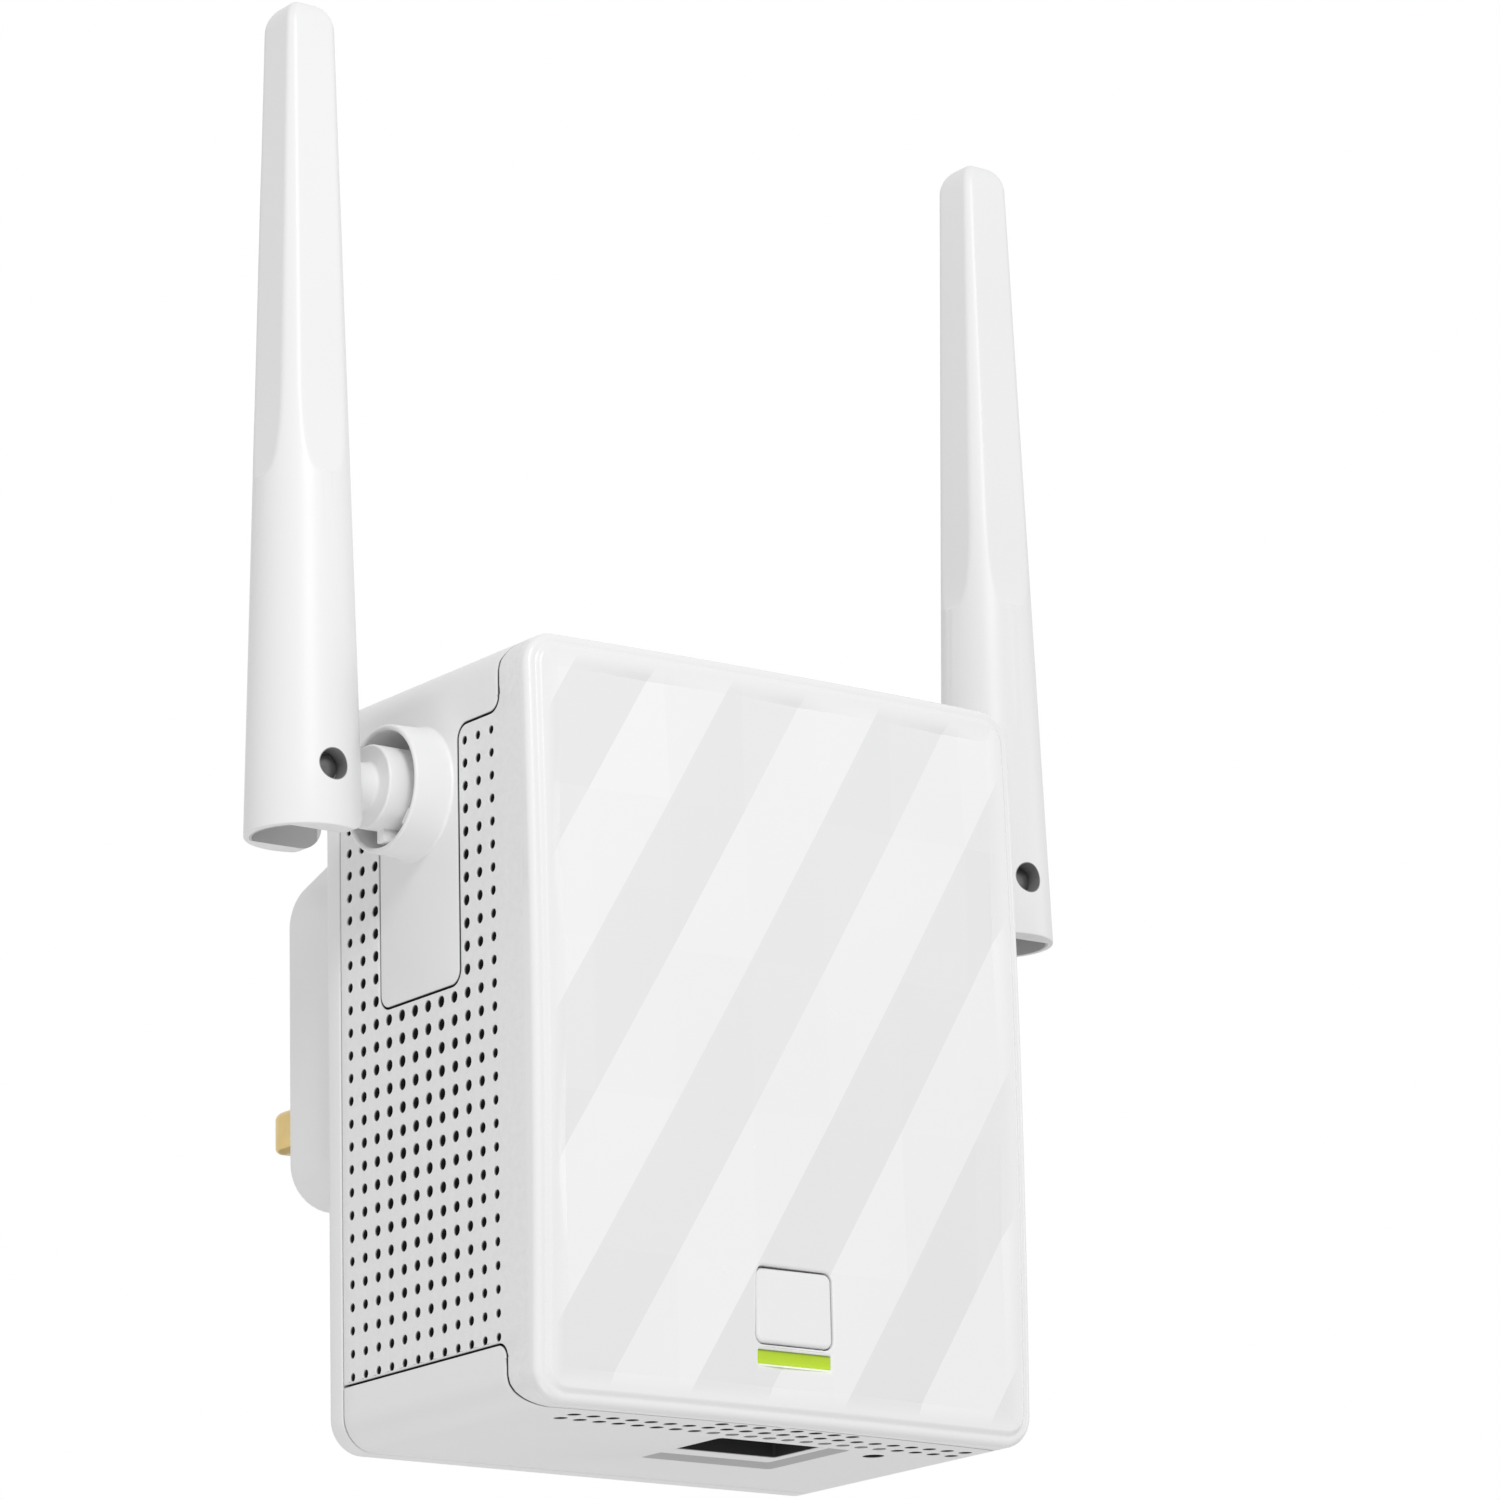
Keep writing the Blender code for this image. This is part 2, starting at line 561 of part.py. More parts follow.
def add_main_housing():
    housing = add("main_housing", case_tube(FRONT_SEAM, FLANGE_FRONT - GAP), white_plastic())
    keep_common(housing, housing_mask(0))
    for level in (-1, 1):
        carve(housing, barb(level, FRONT_TONGUE_END - 2 * BARB, GAP))
        carve(housing, barb(level, FLANGE_FRONT - TONGUE_LENGTH, GAP))
    for side in (LEFT, RIGHT):
        join(housing, side_rail(side))
        cone, bore, hole, block = cup_shapes(side)
        join(housing, cone)
        carve(housing, bore, hole)
        join(housing, block)
    recess_middle = BOARD_BACK + PORT_SETBACK + RECESS_DEPTH / 2
    recess = []
    levels = ((CASE_BOTTOM - OVERLAP, 0), (CASE_BOTTOM, 0), (CASE_BOTTOM + WALL + OVERLAP, RECESS_SLOPE))
    for level, slope in levels:
        half_width, half_depth = RECESS_WIDTH / 2 - slope, RECESS_DEPTH / 2 - slope
        corners = rectangle((PORT_OFFSET - half_width, recess_middle - half_depth),
                            (PORT_OFFSET + half_width, recess_middle + half_depth))
        recess.append([point_on("Z", x, y, level) for x, y in corners])
    reset_hole = cylinder("Z", (RESET_OFFSET, RESET_AXIS_Y), RESET_HOLE_RADIUS,
                          CASE_BOTTOM - WALL, CASE_BOTTOM + 2 * WALL, 20)
    carve(housing, loft(recess), reset_hole)
    for x, z in screw_places():
        wall_side = CASE_TOP - WALL + OVERLAP if z > 0 else CASE_BOTTOM + WALL - OVERLAP
        free_side = z - POST_SIZE / 2 if z > 0 else z + POST_SIZE / 2
        low, high = min(wall_side, free_side), max(wall_side, free_side)
        back = BOARD_BACK + GAP
        post = box((x - POST_SIZE / 2, back, low), (x + POST_SIZE / 2, back + POST_DEPTH, high))
        pilot = cylinder("Y", (x, z), SCREW_RADIUS + GAP / 2, back - WALL, back + POST_DEPTH - 2 * OVERLAP, 12)
        join(housing, post)
        carve(housing, pilot)


def plug_outline(inset):
    """Outline of the plug block in X and Z: square below, with sloping shoulders."""
    half, top_half = PLUG_WIDTH / 2 - inset, PLUG_TOP_WIDTH / 2 - inset / 2
    radius = max(PLUG_ROUND - inset, 0.8 * MM)
    return rounded_polygon([
        (-half, -PLUG_BELOW + inset, radius), (half, -PLUG_BELOW + inset, radius),
        (half, PLUG_SIDE_TOP - inset / 2, radius), (top_half, PLUG_ABOVE - inset, radius),
        (-top_half, PLUG_ABOVE - inset, radius), (-half, PLUG_SIDE_TOP - inset / 2, radius),
    ], 4)


def pin_places():
    """Centre, width and height of each pin, keyed by the pin's name."""
    return {
        "line_pin": ((PIN_SPACING / 2, 0.0), PIN_WIDTH, PIN_THICKNESS),
        "neutral_pin": ((-PIN_SPACING / 2, 0.0), PIN_WIDTH, PIN_THICKNESS),
        "earth_pin": ((0.0, EARTH_HEIGHT), EARTH_WIDTH, EARTH_THICKNESS),
    }


def around(centre, width, height, margin=0.0):
    """Rectangle about a centre, grown by a margin on every side."""
    half_width, half_height = width / 2 + margin, height / 2 + margin
    return rectangle((centre[0] - half_width, centre[1] - half_height),
                     (centre[0] + half_width, centre[1] + half_height))


def add_rear_cover():
    rings = [case_ring(0, FLANGE_FRONT), case_ring(0, FLANGE_BACK - EDGE_ROUND / 4),
             case_ring(EDGE_ROUND / 4, FLANGE_BACK)]
    cover = add("rear_cover", loft(rings), white_plastic())
    edge = EDGE_ROUND / 2
    levels = ((0, FLANGE_BACK - OVERLAP), (0, -edge), (edge / 4, -edge / 3), (edge, 0))
    block = loft([[point_on("Y", x, z, depth) for x, z in plug_outline(inset)] for inset, depth in levels])
    join(cover, block)
    for level in (-1, 1):
        join(cover, tongue(level, FLANGE_FRONT - TONGUE_LENGTH, FLANGE_FRONT + OVERLAP))
        join(cover, barb(level, FLANGE_FRONT - TONGUE_LENGTH))
    carve(cover, prism(plug_outline(WALL), "Y", FLANGE_FRONT - OVERLAP, -WALL))
    for centre, width, height in pin_places().values():
        carve(cover, prism(around(centre, width, height, GAP), "Y", -2 * WALL, WALL))


def pin_head(centre, width, height):
    outline = around(centre, width, height, PIN_HEAD_MARGIN)
    return prism(outline, "Y", -WALL - GAP - PIN_HEAD_THICKNESS, -WALL - GAP)


def pin_blade(centre, width, height, start, length):
    """Bar with its end drawn in on all four sides."""
    levels = ((start, 0), (length - PIN_TIP, 0), (length, -PIN_TIP / 1.5))
    return loft([[point_on("Y", x, z, depth) for x, z in around(centre, width, height, margin)]
                 for depth, margin in levels])


def add_pins():
    for name, (centre, width, height) in pin_places().items():
        if name == "earth_pin":
            blade = pin_blade(centre, width, height, -WALL - GAP - OVERLAP, EARTH_LENGTH)
            join(add(name, blade, white_plastic()), pin_head(centre, width, height))
            continue
        pin = add(name, pin_blade(centre, width, height, SLEEVE_LENGTH + GAP, PIN_LENGTH), brass())
        neck = around(centre, width, height, -SLEEVE_WALL - GAP)
        join(pin, prism(neck, "Y", -WALL - GAP - OVERLAP, SLEEVE_LENGTH + GAP + OVERLAP))
        join(pin, pin_head(centre, width, height))
        levels = (-WALL, SLEEVE_LENGTH)
        margins = ((0, levels[0]), (0, levels[1]), (-SLEEVE_WALL, levels[1]), (-SLEEVE_WALL, levels[0]))
        rings = [[point_on("Y", x, z, depth) for x, z in around(centre, width, height, margin)]
                 for margin, depth in margins]
        add(f"{name}_sleeve", loft(rings, closed=True), black_plastic())
        add_contact(name.replace("_pin", "_contact"), centre[0])


def add_contact(name, x):
    """Bent strip between the head of a live pin and the power board."""
    head = -WALL - 2 * GAP - PIN_HEAD_THICKNESS
    half, rise = CONTACT_STRIP_WIDTH / 2, CONTACT_STRIP_RISE
    foot = box((x - half, head - CONTACT_STRIP, -rise), (x + half, head, rise))
    leg = box((x - half, POWER_BOARD_BACK + GAP, rise - CONTACT_STRIP),
              (x + half, head - CONTACT_STRIP / 2, rise))
    join(add(name, foot, brass()), leg)


def screw_places():
    across = HALF_WIDTH - SCREW_INSET
    return [(side * across, height) for height in SCREW_HEIGHTS for side in (LEFT, RIGHT)]


def add_main_board():
    outline = rectangle((-MAIN_BOARD_WIDTH / 2, CASE_BOTTOM + BOARD_BOTTOM_MARGIN),
                        (MAIN_BOARD_WIDTH / 2, CASE_TOP - BOARD_TOP_MARGIN))
    board = add("main_board", prism(outline, "Y", BOARD_FRONT, BOARD_BACK), board_laminate())
    names = ("lower_left", "lower_right", "upper_left", "upper_right")
    for name, (x, z) in zip(names, screw_places()):
        carve(board, cylinder("Y", (x, z), SCREW_RADIUS + GAP, BOARD_FRONT - WALL, BOARD_BACK + WALL, 16))
        head = BOARD_FRONT - GAP
        profile = [(head - SCREW_HEAD_HEIGHT, SCREW_RADIUS),
                   (head - SCREW_HEAD_HEIGHT / 2, SCREW_HEAD_RADIUS), (head, SCREW_HEAD_RADIUS),
                   (head, SCREW_RADIUS), (head + SCREW_LENGTH, SCREW_RADIUS)]
        add(f"board_screw_{name}", turned("Y", (x, z), profile, 16), tinned_steel())


def on_front(width, height, tall, x, z, gap=GAP):
    """Box standing on the front of the main board."""
    return box((x - width / 2, BOARD_FRONT - gap - tall, z - height / 2),
               (x + width / 2, BOARD_FRONT - gap, z + height / 2))


def add_board_parts():
    add("wifi_chip", on_front(*WIFI_CHIP), chip_resin())
    add("memory_chip", on_front(*MEMORY_CHIP), chip_resin())
    add("clock_crystal", on_front(*CLOCK_CRYSTAL), tinned_steel())
    width, height, tall, x, z = RF_SHIELD
    shield = add("rf_shield", on_front(*RF_SHIELD), tinned_steel())
    inside = (width - 2 * SHIELD_WALL, height - 2 * SHIELD_WALL, tall - SHIELD_WALL + WALL)
    carve(shield, on_front(*inside, x, z, gap=GAP - WALL))
    add("status_led", on_front(*LED_SIZE, 0, LIGHT_MIDDLE), make_finish("led_lens", (0.85, 0.85, 0.70), 0.3))
    width, thick, height = LAN_TRANSFORMER
    low = JACK_TOP + ABOVE_JACK
    magnetics = box((PORT_OFFSET - width / 2, BOARD_BACK + GAP, low),
                    (PORT_OFFSET + width / 2, BOARD_BACK + GAP + thick, low + height))
    add("lan_transformer", magnetics, chip_resin())


def add_light_pipe():
    """Bar of clear plastic from the slot under the button, narrowing towards the LED."""
    front = dome_depth(LIGHT_MIDDLE - CASE_BOTTOM) + LIGHT_RECESS
    throat = FACE_RIM + WALL + GAP
    led_face = BOARD_FRONT - 2 * GAP - LED_SIZE[2]
    half = LIGHT_WIDTH / 2 - GAP / 2
    low, high = LIGHT_LOW + GAP / 2, LIGHT_LOW + LIGHT_HEIGHT - GAP / 2
    rings = [[point_on("Y", x, z, depth) for x, z in rectangle((-width, low), (width, high))]
             for width, depth in ((half, front), (half, throat), (LED_SIZE[0] / 2, led_face))]
    add("light_pipe", loft(rings), clear_plastic())


def button_depths():
    """Depths of the button's front, its lip, the plunger's tip and the switch's face."""
    front = dome_depth(BUTTON_MIDDLE - CASE_BOTTOM)
    lip = dome_depth(BUTTON_ABOVE_BOTTOM - BUTTON_LIP) + WALL + GAP
    lip_back = lip + BUTTON_LIP_THICKNESS
    tip = lip_back + GAP
    return front, lip, lip_back, tip, tip + PLUNGER_SHOWN


def add_button():
    front, lip, lip_back, tip, switch_face = button_depths()
    slide = add_axis("button_slide", (0, front, BUTTON_MIDDLE))
    half_width, half_height = BUTTON_WIDTH / 2, BUTTON_HEIGHT / 2
    cap = rounded_rectangle((-half_width, -half_height), (half_width, half_height), BUTTON_ROUND, 3)
    lip_outline = rectangle((-half_width - BUTTON_LIP, -half_height - BUTTON_LIP),
                            (half_width + BUTTON_LIP, half_height + BUTTON_LIP))
    button = add("pairing_button", prism(cap, "Y", 0, lip - front + OVERLAP), white_plastic(), slide)
    join(button, prism(lip_outline, "Y", lip - front, lip_back - front))
    plunger = cylinder("Y", (0, 0), PLUNGER_RADIUS, tip - front, tip - front + PLUNGER_LENGTH)
    add("button_plunger", plunger, black_plastic(), slide)
    half = SWITCH_SIZE / 2
    body = box((-half, switch_face, BUTTON_MIDDLE - half), (half, BOARD_FRONT - GAP, BUTTON_MIDDLE + half))
    switch = add("button_switch", body, tinned_steel())
    well_end = tip + PLUNGER_LENGTH + BUTTON_TRAVEL + GAP
    carve(switch, cylinder("Y", (0, BUTTON_MIDDLE), PLUNGER_RADIUS + GAP, switch_face - WALL, well_end))


def add_reset_switch():
    half, foot = RESET_SIZE / 2, CASE_BOTTOM + WALL + RESET_SWITCH_LEVEL
    body = box((RESET_OFFSET - half, BOARD_BACK + GAP, foot),
               (RESET_OFFSET + half, BOARD_BACK + GAP + RESET_SIZE, foot + RESET_SWITCH_HEIGHT))
    switch = add("reset_switch", body, tinned_steel())
    tip, top = CASE_BOTTOM + WALL + GAP, foot + RESET_SWITCH_HEIGHT / 2
    centre = (RESET_OFFSET, RESET_AXIS_Y)
    carve(switch, cylinder("Z", centre, RESET_PLUNGER_RADIUS + GAP, foot - WALL, top + RESET_TRAVEL + GAP, 16))
    slide = add_axis("reset_slide", (RESET_OFFSET, RESET_AXIS_Y, tip))
    add("reset_plunger", cylinder("Z", (0, 0), RESET_PLUNGER_RADIUS, 0, top - tip, 16), black_plastic(), slide)


def add_ethernet_jack():
    half = JACK_WIDTH / 2
    low = (PORT_OFFSET - half, JACK_FRONT, JACK_FACE)
    high = (PORT_OFFSET + half, JACK_FRONT + JACK_DEPTH, JACK_TOP)
    jack = add("ethernet_jack", box(low, high), black_plastic())
    mouth_half = JACK_MOUTH_WIDTH / 2
    mouth_back = MOUTH_FRONT + JACK_MOUTH_DEPTH
    mouth = box((PORT_OFFSET - mouth_half, MOUTH_FRONT, JACK_FACE - WALL),
                (PORT_OFFSET + mouth_half, mouth_back, JACK_FACE + PORT_BORE))
    latch = box((PORT_OFFSET - LATCH_WIDTH / 2, mouth_back - OVERLAP, JACK_FACE - WALL),
                (PORT_OFFSET + LATCH_WIDTH / 2, mouth_back + LATCH_DEPTH, JACK_FACE + PORT_BORE))
    carve(jack, mouth, latch)
    add_jack_contacts()


def add_jack_contacts():
    """Comb of spring contacts: a bar across the port's inner end with bowed wires on it."""
    top = JACK_FACE + PORT_BORE - GAP
    half = JACK_MOUTH_WIDTH / 2 - GAP
    front, thick = MOUTH_FRONT + GAP, CONTACT_THICKNESS
    bar = box((PORT_OFFSET - half, front, top - COMB_SIZE), (PORT_OFFSET + half, front + COMB_SIZE, top))
    comb = add("jack_contacts", bar, brass())
    bow, knee = JACK_FACE + CONTACT_BOW_LEVEL, JACK_FACE + CONTACT_BOW_LEVEL / 2
    line = [(0, top - OVERLAP), (CONTACT_BOW, bow), (0, knee)]
    outline = [(front + y, z) for y, z in line] + [(front + y + thick, z) for y, z in reversed(line)]
    for index in range(CONTACT_COUNT):
        x = PORT_OFFSET + (index - (CONTACT_COUNT - 1) / 2) * CONTACT_PITCH
        join(comb, prism(outline, "X", x - thick / 2, x + thick / 2))


def on_power(width, height, tall, x, z):
    """Box standing on the front of the power board."""
    back = POWER_BOARD_FRONT - GAP
    return box((x - width / 2, back - tall, z - height / 2), (x + width / 2, back, z + height / 2))


def add_power_supply():
    outline = rectangle((-POWER_BOARD_WIDTH / 2, POWER_BOARD_LOW), (POWER_BOARD_WIDTH / 2, POWER_BOARD_HIGH))
    board = prism(outline, "Y", POWER_BOARD_FRONT, POWER_BOARD_BACK)
    add("power_board", board, make_finish("power_laminate", (0.45, 0.33, 0.12), 0.5))
    core = add("power_transformer", on_power(*TRANSFORMER_CORE), winding_tape())
    join(core, on_power(*TRANSFORMER_WINDING), on_power(*TRANSFORMER_FOOT))
    add("rectifier", on_power(*RECTIFIER), chip_resin())
    add("regulator_chip", on_power(*REGULATOR_CHIP), chip_resin())
    back = POWER_BOARD_FRONT - GAP
    end = back - CAPACITOR_LENGTH
    can = [(back, CAPACITOR_RADIUS), (end + CAPACITOR_SHOULDER, CAPACITOR_RADIUS),
           (end, CAPACITOR_RADIUS - CAPACITOR_SHOULDER)]
    for name, side in (("input_capacitor", LEFT), ("output_capacitor", RIGHT)):
        place = (side * CAPACITOR_OFFSET, CAPACITOR_HEIGHT)
        add(name, turned("Y", place, can, 20), capacitor_sleeve())
    fuse = cylinder("Z", (-CAPACITOR_OFFSET, back - FUSE_RADIUS), FUSE_RADIUS, *FUSE_ENDS, 16)
    add("input_fuse", fuse, make_finish("fuse_body", (0.10, 0.30, 0.16), 0.5))
    low = JACK_TOP + ABOVE_JACK
    link = box((LINK_SIDES[0], BOARD_BACK + GAP, low), (LINK_SIDES[1], back, low + LINK_THICKNESS))
    add("board_link", link, black_plastic())
    film_back = back - TRANSFORMER_CORE[2] - GAP
    film = box((-FILM_HALF_WIDTH, film_back - FILM_THICKNESS, FILM_LEVELS[0]),
               (FILM_HALF_WIDTH, film_back, FILM_LEVELS[1]))
    add("insulating_sheet", film, insulating_film())


def swivel_profile(side):
    """Turned outline of the swivel in distance out from the case's side, and radius."""
    floor, inner = -CUP_FLOOR + GAP, -WALL
    groove_end = -WALL - CLIP_THICKNESS - 2 * GAP
    steps = [(-SHAFT_INNER_END, SHAFT_RADIUS), (groove_end, SHAFT_RADIUS), (groove_end, GROOVE_RADIUS),
             (inner, GROOVE_RADIUS), (inner, SHAFT_RADIUS), (floor, SHAFT_RADIUS), (floor, COLLAR_RADIUS),
             (COLLAR_REACH, COLLAR_RADIUS), (COLLAR_REACH, NECK_RADIUS), (PIVOT_REACH - EYE_RADIUS / 2, NECK_RADIUS)]
    return [(side * out, radius) for out, radius in steps]


def clip_outline():
    """C-shaped snap ring, open towards the bottom."""
    outer = arc((0, 0), CLIP_RADIUS, -50, 230, 20)
    inner = arc((0, 0), GROOVE_RADIUS + GAP, 230, -50, 20)
    return outer + inner


def add_swivel(side, prefix):
    place = (side * HALF_WIDTH, -SWIVEL_DEPTH, SWIVEL_HEIGHT)
    axis = add_axis(f"{prefix}_swivel_axis", place)
    swivel = add(f"{prefix}_swivel", turned("X", (0, 0), swivel_profile(side), 32), white_plastic(), axis)
    lug_low, lug_high = sorted((side * (CUP_REACH - LUG_LENGTH), side * CUP_REACH))
    lug = box((lug_low, -LUG_WIDTH / 2, -(CUP_BORE - GAP)), (lug_high, LUG_WIDTH / 2, -COLLAR_RADIUS + OVERLAP))
    pivot = side * PIVOT_REACH
    eye = cylinder("Y", (pivot, 0), EYE_RADIUS, -EYE_THICKNESS / 2, EYE_THICKNESS / 2, 32)
    join(swivel, lug, eye)
    pin_hole = cylinder("Y", (pivot, 0), HINGE_PIN_RADIUS + GAP, -EYE_THICKNESS, EYE_THICKNESS, 20)
    bore_end = PIVOT_REACH - HINGE_PIN_RADIUS - 4 * GAP
    bore = cylinder("X", (0, 0), COAX_RADIUS + GAP, -side * 2 * SHAFT_INNER_END, side * (bore_end - WALL), 16)
    carve(swivel, pin_hole, bore)
    inner = -side * (WALL + GAP)
    clip = prism(clip_outline(), "X", inner, inner - side * CLIP_THICKNESS)
    add(f"{prefix}_swivel_clip", clip, tinned_steel(), axis)
    add_aerial(side, prefix, axis)
    add_coax(side, prefix)


def blade_radius(height):
    return BLADE_BASE_RADIUS - BLADE_TAPER * (height + BLADE_BELOW)


def blade_ring(height, radius, sides=40):
    """Section of the blade: a circle cut by four flats that fade out below FLAT_START."""
    share = min(max((height - FLAT_START) / FLAT_RUNOUT, 0.0), 1.0)
    sunk = FLAT_DEPTH * math.sqrt(1 - (1 - share) ** 2)
    flat = radius - sunk * radius / blade_radius(height)
    ring = []
    for index in range(sides):
        angle = 2 * math.pi * (index + 0.5) / sides
        reach = min(radius, flat / max(abs(math.cos(angle)), abs(math.sin(angle))))
        ring.append((reach * math.cos(angle), reach * math.sin(angle), height))
    return ring


def blade_shape():
    """Tapered blade from its foot to a rounded tip."""
    heights = [-BLADE_BELOW, 0, FLAT_START / 2, FLAT_START]
    heights += [FLAT_START + FLAT_RUNOUT * share for share in (0.06, 0.25, 0.55, 1.0)]
    shoulder = BLADE_ABOVE - BLADE_TIP_ROUND
    heights += [(heights[-1] + shoulder) / 2]
    rings = [blade_ring(height, blade_radius(height)) for height in heights]
    for angle in np.radians((0, 25, 50, 75)):
        height = shoulder + BLADE_TIP_ROUND * math.sin(angle)
        drawn_in = BLADE_TIP_ROUND * (1 - math.cos(angle))
        rings.append(blade_ring(height, blade_radius(shoulder) - drawn_in))
    return loft(rings)


def foot_corner_cut(side):
    """Wedge that rounds the foot's edge on the side of the case, seen along Y."""
    reach = BLADE_BASE_RADIUS - BLADE_TAPER * BLADE_BELOW
    flank = math.sqrt(reach ** 2 - (EYE_THICKNESS / 2 + GAP) ** 2)
    centre = (flank - BLADE_FOOT_ROUND, -BLADE_BELOW + BLADE_FOOT_ROUND)
    outline = arc(centre, BLADE_FOOT_ROUND, 0, -90, 6)
    below, beyond = -BLADE_BELOW - WALL, flank + 2 * WALL
    outline += [(centre[0], below), (beyond, below), (beyond, centre[1])]
    return prism([(-side * x, z) for x, z in outline], "Y", -2 * BLADE_BASE_RADIUS, 2 * BLADE_BASE_RADIUS)


def add_aerial(side, prefix, swivel_axis):
    axis = add_axis(f"{prefix}_fold_axis", (side * PIVOT_REACH, 0, 0), swivel_axis)
    blade = add(f"{prefix}_aerial_shell", blade_shape(), white_plastic(), axis)
    half_slot = EYE_THICKNESS / 2 + GAP
    slot_top = EYE_RADIUS + 1.4 * GAP
    outer = side * (BLADE_BASE_RADIUS - BLADE_OUTER_WALL)
    inner = -side * 2 * BLADE_BASE_RADIUS
    slot = box((min(outer, inner), -half_slot, -2 * BLADE_BELOW), (max(outer, inner), half_slot, slot_top))
    pin_hole = cylinder("Y", (0, 0), HINGE_PIN_RADIUS + GAP, -2 * BLADE_BASE_RADIUS, 2 * BLADE_BASE_RADIUS, 20)
    bore = cylinder("Z", (0, 0), ELEMENT_RADIUS + GAP, slot_top - OVERLAP, slot_top + ELEMENT_LENGTH + 3 * GAP, 16)
    carve(blade, slot, foot_corner_cut(side), pin_hole, bore)
    half_pin = EYE_THICKNESS / 2 + HINGE_PIN_GRIP
    pin = cylinder("Y", (0, 0), HINGE_PIN_RADIUS, -half_pin, half_pin, 20)
    add(f"{prefix}_hinge_pin", pin, tinned_steel(), axis)
    start = slot_top + GAP
    middle = slot_top + ELEMENT_LENGTH / 2
    rod = [(start, COAX_RADIUS), (middle, COAX_RADIUS), (middle, ELEMENT_RADIUS),
           (slot_top + ELEMENT_LENGTH, ELEMENT_RADIUS)]
    add(f"{prefix}_aerial_element", turned("Z", (0, 0), rod, 16), brass(), axis)


def add_coax(side, prefix):
    """Lead from inside the swivel's bore to its solder point on the main board.

    It runs straight along the swivel's axis, so that it can twist there, then curves down
    to the board along a Bezier curve.
    """
    near_pivot = HALF_WIDTH + PIVOT_REACH - HINGE_PIN_RADIUS - 5 * GAP - WALL
    inside = HALF_WIDTH - SHAFT_INNER_END - WALL / 2
    landing = HALF_WIDTH - COAX_LANDING
    start_y, end_y = -SWIVEL_DEPTH, BOARD_BACK + COAX_RADIUS / 2 + GAP
    corners = [(inside, start_y, SWIVEL_HEIGHT), (landing, start_y, SWIVEL_HEIGHT),
               (landing, (start_y + end_y) / 2, SWIVEL_HEIGHT - COAX_DROP / 2),
               (landing, end_y, SWIVEL_HEIGHT - COAX_DROP)]
    share = np.linspace(0, 1, 15)[:, None]
    weights = np.hstack([(1 - share) ** 3, 3 * share * (1 - share) ** 2, 3 * share ** 2 * (1 - share), share ** 3])
    points = [(near_pivot, start_y, SWIVEL_HEIGHT)] + (weights @ np.array(corners)).tolist()
    curve = bpy.data.curves.new(f"{prefix}_coax", "CURVE")
    curve.dimensions = "3D"
    curve.bevel_depth = COAX_RADIUS
    curve.bevel_resolution = 2
    curve.use_fill_caps = True
    spline = curve.splines.new("POLY")
    spline.points.add(len(points) - 1)
    for target, (x, y, z) in zip(spline.points, points):
        target.co = (side * x, y, z, 1.0)
    curve.materials.append(coax_jacket())
    lead = bpy.data.objects.new(f"{prefix}_coax", curve)
    bpy.context.scene.collection.objects.link(lead)


def main():
    for obj in list(bpy.data.objects):
        bpy.data.objects.remove(obj)
    add_front_cover()
    add_main_housing()
    add_rear_cover()
    add_pins()
    add_main_board()
    add_board_parts()
    add_light_pipe()
    add_button()
    add_reset_switch()
    add_ethernet_jack()
    add_power_supply()
    for side, prefix in ((LEFT, "left"), (RIGHT, "right")):
        add_swivel(side, prefix)


main()
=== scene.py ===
"""Plug-in wifi range extender with two folding aerials: its visible surfaces and its studio.

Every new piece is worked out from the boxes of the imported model, in metres, with +Z up, +X to
the right seen from the front and the domed front looking towards -Y.
"""

import json
import math

import bmesh
import bpy
import numpy as np
from mathutils import Matrix, Vector
from mathutils.geometry import delaunay_2d_cdt


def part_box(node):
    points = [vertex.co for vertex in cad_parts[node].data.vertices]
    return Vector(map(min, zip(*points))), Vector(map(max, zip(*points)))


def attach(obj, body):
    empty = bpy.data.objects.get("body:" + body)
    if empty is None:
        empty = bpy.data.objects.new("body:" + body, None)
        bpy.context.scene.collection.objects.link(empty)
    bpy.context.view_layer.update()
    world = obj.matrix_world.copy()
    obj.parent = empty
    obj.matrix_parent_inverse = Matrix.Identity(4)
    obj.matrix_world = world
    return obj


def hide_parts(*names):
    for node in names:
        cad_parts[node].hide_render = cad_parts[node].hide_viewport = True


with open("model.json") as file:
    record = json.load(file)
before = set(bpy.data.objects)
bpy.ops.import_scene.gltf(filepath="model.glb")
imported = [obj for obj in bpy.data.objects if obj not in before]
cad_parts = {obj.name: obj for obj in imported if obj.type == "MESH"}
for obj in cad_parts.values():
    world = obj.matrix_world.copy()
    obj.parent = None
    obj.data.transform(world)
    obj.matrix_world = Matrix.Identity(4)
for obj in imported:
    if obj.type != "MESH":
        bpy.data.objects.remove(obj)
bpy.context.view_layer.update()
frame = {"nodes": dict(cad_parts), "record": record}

MM = 0.001
SIDES = {"left": -1, "right": 1}

# Case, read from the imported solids
COVER_LOW, COVER_HIGH = (np.array(corner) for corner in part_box("front_cover"))
HOUSING_LOW, HOUSING_HIGH = (np.array(corner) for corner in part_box("main_housing"))
HALF_WIDTH = COVER_HIGH[0]
TOP, BOTTOM = COVER_HIGH[2], COVER_LOW[2]
MIDDLE = (TOP + BOTTOM) / 2
DOME_FRONT = COVER_LOW[1]
FRONT_SEAM = HOUSING_LOW[1]
FLANGE_FRONT = HOUSING_HIGH[1] + 0.3 * MM
CORNER = 3.0 * MM
WALL = 1.8 * MM
SEAM = 0.16 * MM  # width of the visible parting lines
EDGE = 0.16 * MM  # rounding of the walls' edges along them

